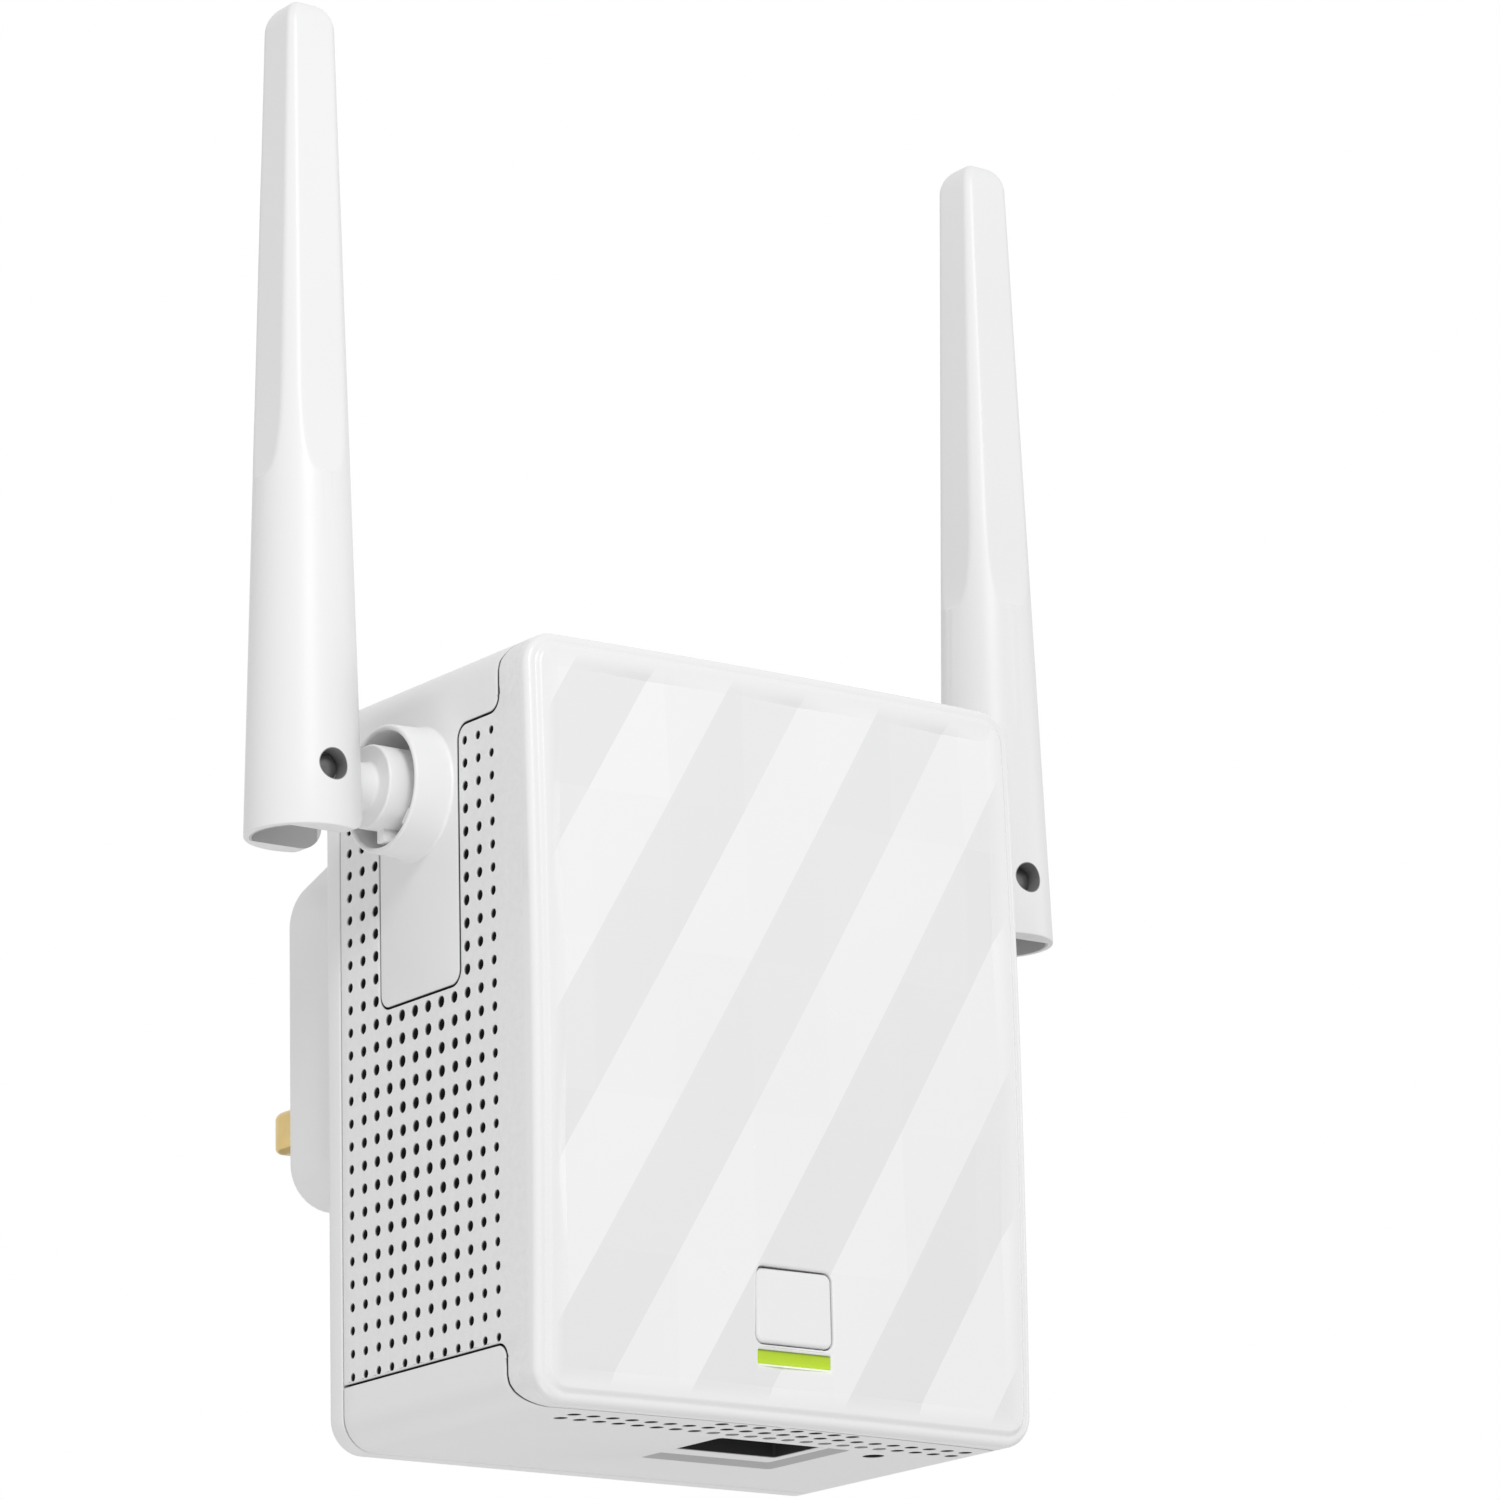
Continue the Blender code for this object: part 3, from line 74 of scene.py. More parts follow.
# Front face: a shallow dome folded into slanting pleats, inside a raised border
BORDER = CORNER
DOME_RISE = 1.0 * MM
CELL = (8.0 * MM, 13.1 * MM)
PLEAT = 0.40 * MM
RIM_ROUND = 0.65 * MM
STEP_FOOT, STEP_HEAD = 0.8 * MM, 1.4 * MM  # the face's step, as distances from the case's edge
STEP_DEPTH = 0.34 * MM
SEAM_BOW = 0.9 * MM  # how far the parting line bows forward along the top and the bottom
FACE_JOINT = FRONT_SEAM - 1.1 * MM  # where the face's rim meets the side walls

# Smooth side plates, chin and pierced walls, as heights and depths
SIDE_SEAM = FRONT_SEAM + 2.1 * MM
CHIN_TOP = BOTTOM + 5.5 * MM
ARM_BOTTOM = TOP - 6.2 * MM
STEM_BOTTOM = TOP - 28.7 * MM
STEM_AHEAD, STEM_BEHIND = 6.4 * MM, 5.85 * MM  # how far the stem reaches from the swivel's axis
PLATE_ROUND = 1.3 * MM
HOLE_PITCH = 2.0 * MM
HOLE_COLUMNS, HOLE_ROWS = 12, 27
HOLE_FRONT = FRONT_SEAM + 3.3 * MM
HOLE_BOTTOM = BOTTOM + 6.1 * MM
HOLE_RADII = (0.36 * MM, 0.53 * MM)
STEM_COLUMNS, STEM_ROWS = range(3, 9), 16
HOLE_SIDES, UNDER_SIDES, BORE_SIDES = 14, 20, 64
HOLE_EDGE = 0.05 * MM

# Underside: small holes in rows behind the parting line, the port's recess, the reset hole
UNDER_PITCH = 1.96 * MM
UNDER_LEFT = -19.3 * MM
UNDER_BACK = FRONT_SEAM + 4.1 * MM
UNDER_COLUMNS, UNDER_ROWS = 22, 2
THIRD_ROW = range(7, 15)  # the columns that have a hole more
UNDER_RADIUS, RESET_RADIUS = 0.60 * MM, 0.95 * MM
RECESS_DEPTH = 0.5 * MM
RECESS_STEPS = (  # half width, front, back and corner radius, from the surface inwards
    (7.0 * MM, 0.0, 11.9 * MM, 0.5 * MM),
    (6.2 * MM, 0.8 * MM, 11.0 * MM, 0.4 * MM),
    (5.4 * MM, 1.5 * MM, 9.0 * MM, 0.3 * MM),
)

# Button, light bar and their holes in the face
BUTTON_LIP = 0.6 * MM
BAR_LIFT = 0.4 * MM
BAR_SPACE = 0.46 * MM
BAR_SINK = 0.12 * MM
BAR_GAP = 0.02 * MM

# Flange against the wall and the plug block on it
FLANGE_THICKNESS, FLANGE_EDGE, BLOCK_EDGE = 2.5 * MM, 0.8 * MM, 1.2 * MM
BLOCK_HALF, BLOCK_TOP_HALF = 24.0 * MM, 11.0 * MM
BLOCK_LOW, BLOCK_SHOULDER, BLOCK_HIGH = -11.0 * MM, 16.5 * MM, 29.4 * MM
BLOCK_ROUND, SHOULDER_ROUND = 4.0 * MM, 1.5 * MM

# Swivels and aerials
COLLAR_RADIUS = 3.66 * MM
NECK_RADIUS = 2.0 * MM
EYE_RADIUS = 2.9 * MM
CUP_BORE = 5.1 * MM
CUP_LIP = 5.6 * MM
CUP_FLARE = 5.95 * MM
BLADE_TAPER = 0.028
FLAT_DEPTH = 0.65 * MM
FLAT_START = 26.0 * MM
FLAT_RUNOUT = 8.0 * MM
TIP_ROUND = 2.6 * MM


def middle_of(node):
    low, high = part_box(node)
    return (np.array(low) + np.array(high)) / 2


PIVOTS = {name: middle_of(f"{name}_hinge_pin") for name in SIDES}
BLADE_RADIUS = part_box("right_aerial_shell")[1][0] - PIVOTS["right"][0]
SWIVEL_DEPTH = PIVOTS["left"][1]
SWIVEL_HEIGHT = PIVOTS["left"][2]
STEM_FRONT, STEM_BACK = SWIVEL_DEPTH - STEM_AHEAD, SWIVEL_DEPTH + STEM_BEHIND


# --- meshes --------------------------------------------------------------------------------


class Shape:
    """Points and faces gathered from several surfaces, which become one piece."""

    def __init__(self):
        self.points, self.faces, self.count = [], [], 0

    def add(self, points, faces):
        points = np.asarray(points, float).reshape(-1, 3)
        self.points.append(points)
        self.faces += [tuple(int(i) + self.count for i in face) for face in faces]
        self.count += len(points)
        return self

    def grid(self, rows, close=True, caps=True):
        """Joins each row of points to the next; caps close the first and the last row."""
        rows = np.asarray(rows, float)
        n, m = rows.shape[:2]
        i, j = np.meshgrid(np.arange(n - 1), np.arange(m if close else m - 1), indexing="ij")
        k = (j + 1) % m
        quads = np.stack([i * m + j, i * m + k, (i + 1) * m + k, (i + 1) * m + j], -1).reshape(-1, 4)
        faces = quads.tolist()
        if caps:
            faces += [list(range(m)), [(n - 1) * m + q for q in range(m)]]
        return self.add(rows, faces)

    def piece(self, name, material, body, slot, replaces=(), sharp=35, weld=0.5e-6):
        """Mesh object with its doubles merged, its faces turned outwards and its edges shaded."""
        shape = bmesh.new()
        for point in np.concatenate(self.points):
            shape.verts.new(point)
        shape.verts.ensure_lookup_table()
        for face in self.faces:
            if len(set(face)) > 2:
                try:
                    shape.faces.new([shape.verts[i] for i in face])
                except ValueError:
                    continue
        bmesh.ops.remove_doubles(shape, verts=shape.verts, dist=weld)
        bmesh.ops.dissolve_degenerate(shape, edges=shape.edges, dist=weld)
        bmesh.ops.recalc_face_normals(shape, faces=shape.faces)
        mesh = bpy.data.meshes.new(name)
        shape.to_mesh(mesh)
        shape.free()
        obj = bpy.data.objects.new(name, mesh)
        bpy.context.scene.collection.objects.link(obj)
        return finish_piece(obj, material, body, replaces, sharp)


def finish_piece(obj, material, body, replaces=(), sharp=35):
    """Gives a piece its finish and smooth shading, and sets it on its body."""
    obj.data.materials.clear()
    obj.data.materials.append(material)
    obj.data.shade_smooth()
    obj.data.set_sharp_from_angle(angle=math.radians(sharp))
    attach(obj, body)
    if replaces:
        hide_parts(*replaces)
    return obj


def applied(obj, operation, cutters):
    """Runs one exact Boolean for each cutter, keeps the result and removes the cutters."""
    for cutter in cutters:
        modifier = obj.modifiers.new("cut", "BOOLEAN")
        modifier.operation = operation
        modifier.object = cutter
    bpy.context.view_layer.update()
    graph = bpy.context.evaluated_depsgraph_get()
    mesh = bpy.data.meshes.new_from_object(obj.evaluated_get(graph))
    obj.modifiers.clear()
    obj.data = mesh
    for cutter in cutters:
        bpy.data.objects.remove(cutter)
    return obj


def loose(shape, name="shape"):
    """Plain mesh object from a shape, for use in a Boolean."""
    body = bmesh.new()
    for point in np.concatenate(shape.points):
        body.verts.new(point)
    body.verts.ensure_lookup_table()
    for face in shape.faces:
        body.faces.new([body.verts[i] for i in face])
    bmesh.ops.remove_doubles(body, verts=body.verts, dist=0.5e-6)
    bmesh.ops.recalc_face_normals(body, faces=body.faces)
    mesh = bpy.data.meshes.new(name)
    body.to_mesh(mesh)
    body.free()
    obj = bpy.data.objects.new(name, mesh)
    bpy.context.scene.collection.objects.link(obj)
    return obj


def arc(centre, radius, start, end, steps):
    """Points on a circular arc, with its angles in degrees."""
    angles = np.radians(np.linspace(start, end, steps + 1))
    return np.stack([centre[0] + radius * np.cos(angles), centre[1] + radius * np.sin(angles)], 1)


def circle(centre, radius, sides):
    return arc(centre, radius, 0, 360, sides)[:-1]


def rounded_rectangle(low, high, radius, steps=6):
    """Rectangle between two opposite corners, each corner a quarter circle."""
    right, left, top, bottom = high[0] - radius, low[0] + radius, high[1] - radius, low[1] + radius
    corners = (((right, top), 0), ((left, top), 90), ((left, bottom), 180), ((right, bottom), 270))
    return np.concatenate([arc(centre, radius, start, start + 90, steps) for centre, start in corners])


def rounded_polygon(corners, steps=8):
    """Outline through corners (u, v, fillet radius); each fillet is tangent to both its sides."""
    outline = []
    for index, (u, v, radius) in enumerate(corners):
        here = np.array((u, v))
        if radius == 0:
            outline.append(here[None])
            continue
        before = np.array(corners[index - 1][:2]) - here
        after = np.array(corners[(index + 1) % len(corners)][:2]) - here
        before, after = before / np.linalg.norm(before), after / np.linalg.norm(after)
        half = math.acos(float(before @ after)) / 2
        centre = here + (before + after) / np.linalg.norm(before + after) * radius / math.sin(half)
        first = here + before * radius / math.tan(half) - centre
        last = here + after * radius / math.tan(half) - centre
        start = math.degrees(math.atan2(first[1], first[0]))
        turn = (math.degrees(math.atan2(last[1], last[0])) - start + 180) % 360 - 180
        outline.append(arc(centre, radius, start, start + turn, steps))
    return np.concatenate(outline)


def drawn_in(loop, distance):
    """Outline moved sideways: each point goes along the mean of its two edges' normals.

    The outline runs anticlockwise, so that a positive distance moves it inwards.
    """
    before = loop - np.roll(loop, 1, 0)
    after = np.roll(loop, -1, 0) - loop
    normals = []
    for edge in (before, after):
        length = np.maximum(np.linalg.norm(edge, axis=1, keepdims=True), 1e-12)
        normals.append(np.stack([-edge[:, 1], edge[:, 0]], 1) / length)
    mean = normals[0] + normals[1]
    stretch = np.maximum((mean * normals[0]).sum(1, keepdims=True), 0.4)
    return loop + distance * mean / stretch


def anticlockwise(loop):
    x, y = loop[:, 0], loop[:, 1]
    area = (x * np.roll(y, -1) - np.roll(x, -1) * y).sum()
    return loop if area > 0 else loop[::-1]


def divided(loop, longest):
    """Outline with its sides cut up twice: to 2 mm, then to what longest(middle) allows."""
    for limit in (lambda middle: 2.0 * MM, longest):
        points = []
        for here, there in zip(loop, np.roll(loop, -1, 0)):
            parts = max(1, math.ceil(np.linalg.norm(there - here) / limit((here + there) / 2)))
            points += [here + (there - here) * k / parts for k in range(parts)]
        loop = np.array(points)
    return loop


def within(points, loops):
    """Even-odd rule: true where a line to the right crosses the loops an odd number of times."""
    starts = np.concatenate(loops)
    ends = np.concatenate([np.roll(loop, -1, 0) for loop in loops])
    inside = np.zeros(len(points), bool)
    for begin in range(0, len(points), 2000):
        x, y = points[begin:begin + 2000, 0, None], points[begin:begin + 2000, 1, None]
        straddles = (starts[:, 1] > y) != (ends[:, 1] > y)
        rise = np.where(ends[:, 1] == starts[:, 1], 1, ends[:, 1] - starts[:, 1])
        crossing = starts[:, 0] + (y - starts[:, 1]) * (ends[:, 0] - starts[:, 0]) / rise
        inside[begin:begin + 2000] = (straddles & (x < crossing)).sum(1) % 2 == 1
    return inside


def triangulated(loops, extra_points=(), extra_edges=()):
    """Delaunay triangles between loops that keep every loop's edges; holes stay open."""
    points, edges = [], []
    for loop in loops:
        start, count = len(points), len(loop)
        points += list(loop)
        edges += [(start + i, start + (i + 1) % count) for i in range(count)]
    start = len(points)
    points += list(extra_points)
    edges += [(start + a, start + b) for a, b in extra_edges]
    result = delaunay_2d_cdt([Vector(p) * 1000 for p in points], edges, [], 0, 1e-7)
    flat = np.array([tuple(v) for v in result[0]]) / 1000
    faces = np.array([f for f in result[2] if len(f) == 3])
    keep = within(flat[faces].mean(1), loops)
    origins = np.full(len(points), -1)
    for new, olds in enumerate(result[3]):
        for old in olds:
            origins[old] = new
    return flat, faces[keep], origins


# --- wall plates on the unrolled case ------------------------------------------------------

STRAIGHT = HALF_WIDTH - CORNER
QUARTER = CORNER * math.pi / 2
SIDE_START = STRAIGHT + QUARTER
SIDE_END = SIDE_START + TOP - BOTTOM - 2 * CORNER
HALF_ROUND = SIDE_END + QUARTER + STRAIGHT


def along_side(height):
    """Distance round the case, from the middle of its top, of a height on its flat side."""
    return SIDE_START + TOP - CORNER - height


def wrapped(flat, inset=0.0):
    """Rolls points (distance round from the middle of the top, depth) onto the case.

    Positive distances go round by the left.  The top, two quarter circles, the side and the
    bottom follow one another; inset moves a point inwards along the surface's normal.
    """
    distance, depth = np.abs(flat[:, 0]), flat[:, 1]
    sense = -np.where(flat[:, 0] < 0, -1.0, 1.0)
    upper = np.clip((distance - STRAIGHT) / CORNER, 0, math.pi / 2)
    lower = np.clip((distance - SIDE_END) / CORNER, 0, math.pi / 2)
    angle = upper + lower
    normal_x, normal_z = np.sin(angle), np.cos(angle)
    over = np.minimum(distance, STRAIGHT)
    down = np.clip(distance - SIDE_START, 0, SIDE_END - SIDE_START)
    under = np.maximum(distance - SIDE_END - QUARTER, 0)
    x = over - under + (CORNER - inset) * normal_x
    z = TOP - CORNER - down + (CORNER - inset) * normal_z
    return np.stack([sense * x, depth, z], 1)


def fine_on_corners(point):
    """Longest step allowed along an outline: short where the case is round."""
    distance = abs(point[0])
    near = min(abs(distance - STRAIGHT - QUARTER / 2), abs(distance - SIDE_END - QUARTER / 2))
    return 0.45 * MM if near < QUARTER / 2 + 0.5 * MM else 2.6 * MM


def corner_points(loops, spans):
    """Extra points across the round corners, clear of the outline and of the holes."""
    samples = []
    for start in spans:
        for distance in np.linspace(start, start + QUARTER, 11):
            samples += [(distance, depth) for depth in np.arange(FRONT_SEAM, FLANGE_FRONT, 1.5 * MM)]
            samples += [(-distance, depth) for depth in np.arange(FRONT_SEAM, FLANGE_FRONT, 1.5 * MM)]
    samples = np.array(samples)
    samples = samples[within(samples, loops)]
    outline = np.concatenate(loops)
    nearest = np.array([np.hypot(*(outline - p).T).min() for p in samples])
    return samples[nearest > 0.25 * MM]


def add_plate(shape, outline, holes, sharp_front=None, spans=(), sides=HOLE_SIDES):
    """Plate of the case's wall between an outline and its holes, with rounded outer edges.

    The outer skin stops EDGE short of the outline; four rings then follow a quarter circle
    down to the full outline and the plate's inner face.  Where sharp_front says so, the edge
    stays square, because the neighbouring surface goes on there.
    """
    outline = divided(anticlockwise(outline), fine_on_corners)
    square = np.zeros((len(outline), 1), bool) if sharp_front is None else sharp_front(outline)[:, None]
    turns = np.radians((0, 30, 60, 90))
    rings = [np.where(square, outline, drawn_in(outline, EDGE * (1 - math.sin(a)))) for a in turns]
    levels = [EDGE * (1 - math.cos(a)) for a in turns] + [WALL]
    loops = [rings[0]] + [circle(centre, radius + HOLE_EDGE, sides) for centre, radius in holes]
    flat, faces, origins = triangulated(loops, corner_points(loops, spans) if spans else ())
    shape.add(wrapped(flat), faces)
    inner = flat.copy()
    inner[origins[:len(outline)]] = outline
    start = len(outline)
    for centre, radius in holes:
        inner[origins[start:start + sides]] = circle(centre, radius, sides)
        start += sides
    shape.add(wrapped(inner, WALL), faces[:, ::-1])
    edge = [wrapped(ring, level) for ring, level in zip(rings + [outline], levels)]
    shape.grid(edge, caps=False)
    for centre, radius in holes:
        sizes = ((radius + HOLE_EDGE, 0), (radius, HOLE_EDGE), (radius, WALL))
        shape.grid([wrapped(circle(centre, r, sides), depth) for r, depth in sizes], caps=False)
    return shape


def side_step(distance):
    """Depth of the parting line, which bows forward in a parabola along the top and bottom.

    On the flat side it lies further back, and it gets there along a cosine over the corner.
    """
    upper = (distance - (STRAIGHT - 0.4 * MM)) / (QUARTER * 0.95)
    lower = ((SIDE_END + QUARTER + 0.4 * MM) - distance) / (QUARTER * 0.95)
    share = np.clip(np.minimum(upper, lower), 0, 1)
    across = np.clip(np.minimum(distance, HALF_ROUND - distance) / STRAIGHT, 0, 1)
    front = FRONT_SEAM - SEAM_BOW * (1 - across ** 2)
    return front + (SIDE_SEAM - FRONT_SEAM) * (0.5 - 0.5 * np.cos(math.pi * share))


def side_holes():
    """Centres and radii of the vent holes: a square lattice left free under the stem."""
    holes = []
    for column in range(HOLE_COLUMNS):
        for row in range(HOLE_ROWS):
            if column in STEM_COLUMNS and row >= STEM_ROWS:
                continue
            across = (column - (HOLE_COLUMNS - 1) / 2) / (HOLE_COLUMNS / 2)
            up = (row - (HOLE_ROWS - 1) / 2) / (HOLE_ROWS / 2)
            swell = math.sqrt((1 - across ** 2) * (1 - up ** 2))
            radius = HOLE_RADII[0] + (HOLE_RADII[1] - HOLE_RADII[0]) * swell
            height = HOLE_BOTTOM + row * HOLE_PITCH
            holes.append(((along_side(height), HOLE_FRONT + column * HOLE_PITCH), radius))
    return holes


def parting_line(start, end, shift):
    """Points of the parting line between two distances round the case, moved by shift in depth."""
    distances = np.linspace(start, end, 40)
    return [(d, side_step(np.abs(d)) + shift, 0) for d in distances]


def add_side_walls(shape):
    """Side band of the cover: the strip behind the face's rim and the pierced wall."""
    half = SEAM / 2
    arm, stem, chin = along_side(ARM_BOTTOM), along_side(STEM_BOTTOM), along_side(CHIN_TOP)
    back = FLANGE_FRONT - half
    outer, inner = PLATE_ROUND + half, PLATE_ROUND - half
    corners = [(0, FACE_JOINT, 0), (HALF_ROUND, FACE_JOINT, 0)]
    corners += parting_line(HALF_ROUND, chin + PLATE_ROUND, -half)
    corners += [(chin - half, SIDE_SEAM - half, outer), (chin - half, back, 0), (arm + half, back, 0),
                (arm + half, STEM_BACK + half, inner), (stem + half, STEM_BACK + half, outer),
                (stem + half, STEM_FRONT - half, outer), (arm + half, STEM_FRONT - half, inner),
                (arm + half, SIDE_SEAM - half, outer)]
    corners += parting_line(arm - PLATE_ROUND, 0, -half)
    outline = rounded_polygon(corners)
    holes = side_holes()

    def joins_face(loop):
        at_face = loop[:, 1] < FACE_JOINT + 1e-7
        at_middle = (loop[:, 0] < 1e-7) | (loop[:, 0] > HALF_ROUND - 1e-7)
        return at_face | at_middle

    for side in SIDES.values():
        turned = outline * (-side, 1)
        placed = [((-side * centre[0], centre[1]), radius) for centre, radius in holes]
        add_plate(shape, turned, placed, lambda loop: joins_face(loop * (-side, 1)),
                  spans=(STRAIGHT, SIDE_END))


def add_upper_housing(shape):
    """Top wall that runs over both corners into the arms and stems of the side plates."""
    half = SEAM / 2
    arm, stem = along_side(ARM_BOTTOM), along_side(STEM_BOTTOM)
    back = FLANGE_FRONT - half
    outer, inner = PLATE_ROUND - half, PLATE_ROUND + half
    left = [(arm - half, SIDE_SEAM + half, outer), (arm - half, STEM_FRONT + half, inner),
            (stem - half, STEM_FRONT + half, outer), (stem - half, STEM_BACK - half, outer),
            (arm - half, STEM_BACK - half, inner), (arm - half, back, 0)]
    right = [(-d, depth, r) for d, depth, r in reversed(left)]
    seam = parting_line(-arm + PLATE_ROUND, arm - PLATE_ROUND, half)
    outline = rounded_polygon(seam + left + right)
    bores = [((side * along_side(SWIVEL_HEIGHT), SWIVEL_DEPTH), CUP_BORE) for side in (-1, 1)]
    add_plate(shape, outline, bores, spans=(STRAIGHT,), sides=BORE_SIDES)


def underside_holes():
    """Centres of the small holes behind the front parting line of the underside.

    They stand on a square lattice: two full rows, and a third before them in the middle.
    """
    holes = []
    for column in range(UNDER_COLUMNS):
        for row in range(UNDER_ROWS + (column in THIRD_ROW)):
            holes.append((UNDER_LEFT + column * UNDER_PITCH, UNDER_BACK - row * UNDER_PITCH))
    return holes


def bottom_distance(x):
    """Distance round the case of a place on its underside (left is positive)."""
    return np.where(np.asarray(x) <= 0, HALF_ROUND + np.asarray(x), -(HALF_ROUND - np.asarray(x)))


def add_lower_housing(shape):
    """Bottom wall that turns up over both corners into the chins below the vents.

    It is laid out by x across the bottom: distance from the middle, growing to the right,
    past the corners and up the sides, so that the wall is one plate.
    """
    half = SEAM / 2
    chin = HALF_ROUND - along_side(CHIN_TOP)
    back = FLANGE_FRONT - half
    seam = [(HALF_ROUND - d if d > 0 else -(HALF_ROUND + d), depth + half, 0)
            for d, depth, _ in parting_line(along_side(CHIN_TOP) + PLATE_ROUND, HALF_ROUND, 0)]
    seam = [(-x, depth, 0) for x, depth, _ in seam] + [(x, depth, 0) for x, depth, _ in seam[::-1][1:]]
    corners = [(-chin + half, back, 0), (-chin + half, SIDE_SEAM + half, PLATE_ROUND - half)] + seam
    corners += [(chin - half, SIDE_SEAM + half, PLATE_ROUND - half), (chin - half, back, 0)]
    outline = rounded_polygon(corners)
    jack_low, jack_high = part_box("ethernet_jack")
    port = (jack_low[0] + jack_high[0]) / 2
    front = jack_low[1] + 0.5 * MM
    recess = [rounded_rectangle((port - half, front + start), (port + half, front + end), radius)
              for half, start, end, radius in RECESS_STEPS]
    plunger = middle_of("reset_plunger")
    holes = [(centre, UNDER_RADIUS) for centre in underside_holes()]
    holes.append(((plunger[0], plunger[1]), RESET_RADIUS))

    def laid(points):
        points = np.asarray(points, float)
        return np.stack([bottom_distance(points[:, 0]), points[:, 1]], 1)

    add_flat_wall(shape, outline, holes, recess, laid)


def add_flat_wall(shape, outline, holes, recess, laid):
    """Like add_plate, for a wall laid out across the bottom of the case."""
    def fine(point):
        near = abs(abs(point[0]) - STRAIGHT - QUARTER / 2)
        return 0.45 * MM if near < QUARTER / 2 + 0.5 * MM else 2.6 * MM

    outline = divided(anticlockwise(outline), fine)
    turns = np.radians((0, 30, 60, 90))
    rings = [drawn_in(outline, EDGE * (1 - math.sin(a))) for a in turns]
    levels = [EDGE * (1 - math.cos(a)) for a in turns] + [WALL]
    loops = [rings[0]] + [circle(c, r + HOLE_EDGE, UNDER_SIDES) for c, r in holes] + [recess[0]]
    samples = [(side * x, y) for side in (-1, 1) for x in np.linspace(STRAIGHT, STRAIGHT + QUARTER, 11)
               for y in np.arange(FRONT_SEAM, FLANGE_FRONT, 1.5 * MM)]
    samples = np.array(samples)
    samples = samples[within(samples, loops)]
    everything = np.concatenate(loops)
    clear = np.array([np.hypot(*(everything - p).T).min() for p in samples]) > 0.25 * MM
    flat, faces, origins = triangulated(loops, samples[clear])
    shape.add(wrapped(laid(flat)), faces)
    inner = flat.copy()
    full = [outline] + [circle(c, r, UNDER_SIDES) for c, r in holes] + [recess[2]]
    start = 0
    for loop in full:
        inner[origins[start:start + len(loop)]] = loop
        start += len(loop)
    shape.add(wrapped(laid(inner), WALL), faces[:, ::-1])
    shape.grid([wrapped(laid(r), level) for r, level in zip(rings + [outline], levels)], caps=False)
    for c, r in holes:
        sizes = ((r + HOLE_EDGE, 0), (r, HOLE_EDGE), (r, WALL))
        shape.grid([wrapped(laid(circle(c, size, UNDER_SIDES)), depth) for size, depth in sizes],
                   caps=False)
    steps = ((recess[0], 0), (recess[1], RECESS_DEPTH), (recess[2], RECESS_DEPTH), (recess[2], WALL))
    shape.grid([wrapped(laid(loop), depth) for loop, depth in steps], caps=False)


# --- front face ------------------------------------------------------------------------------


def dome(x, z):
    """Depth of the unfolded face: a sum of two parabolas, deepest at the corners."""
    across = x / (HALF_WIDTH - BORDER)
    up = (z - MIDDLE) / ((TOP - BOTTOM) / 2 - BORDER)
    return DOME_FRONT + DOME_RISE / 2 * (across ** 2 + up ** 2)


LATTICE = (-2.5 * CELL[0], MIDDLE - 1.5 * CELL[1])


def folded(x, z):
    """Depth of the pleated face.

    The dome is sampled on a lattice; a node lies on it, or one pleat behind it, as the
    difference of its column and row is even or odd.  Each cell is two flat triangles on either side of
    its rising diagonal, so the nodes of a slanting line form one ridge or one valley.
    """
    u, v = (np.asarray(x) - LATTICE[0]) / CELL[0], (np.asarray(z) - LATTICE[1]) / CELL[1]
    i, j = np.floor(u), np.floor(v)
    share_u, share_v = u - i, v - j

    def node(a, b):
        fold = np.where((a - b) % 2 == 0, 0.0, PLEAT)
        return dome(LATTICE[0] + a * CELL[0], LATTICE[1] + b * CELL[1]) + fold

    start, end = node(i, j), node(i + 1, j + 1)
    lower = start + share_u * (node(i + 1, j) - start) + share_v * (end - node(i + 1, j))
    upper = start + share_v * (node(i, j + 1) - start) + share_u * (end - node(i, j + 1))
    return np.where(share_u >= share_v, lower, upper)


def lattice_lines():
    """Creases of the face as pairs of points: columns, rows and rising diagonals."""
    left, right = -HALF_WIDTH + BORDER, HALF_WIDTH - BORDER
    low, high = BOTTOM + BORDER, TOP - BORDER
    lines = []
    for i in range(-1, 8):
        x = LATTICE[0] + i * CELL[0]
        if left < x < right:
            lines.append(((x, low), (x, high)))
    for j in range(-2, 6):
        z = LATTICE[1] + j * CELL[1]
        if low < z < high:
            lines.append(((left, z), (right, z)))
    slope = CELL[1] / CELL[0]
    for k in range(-8, 9):
        level = LATTICE[1] - LATTICE[0] * slope - k * CELL[1]
        x0, x1 = max(left, (low - level) / slope), min(right, (high - level) / slope)
        if x1 - x0 > 0.2 * MM:
            lines.append(((x0, level + slope * x0), (x1, level + slope * x1)))
    return lines


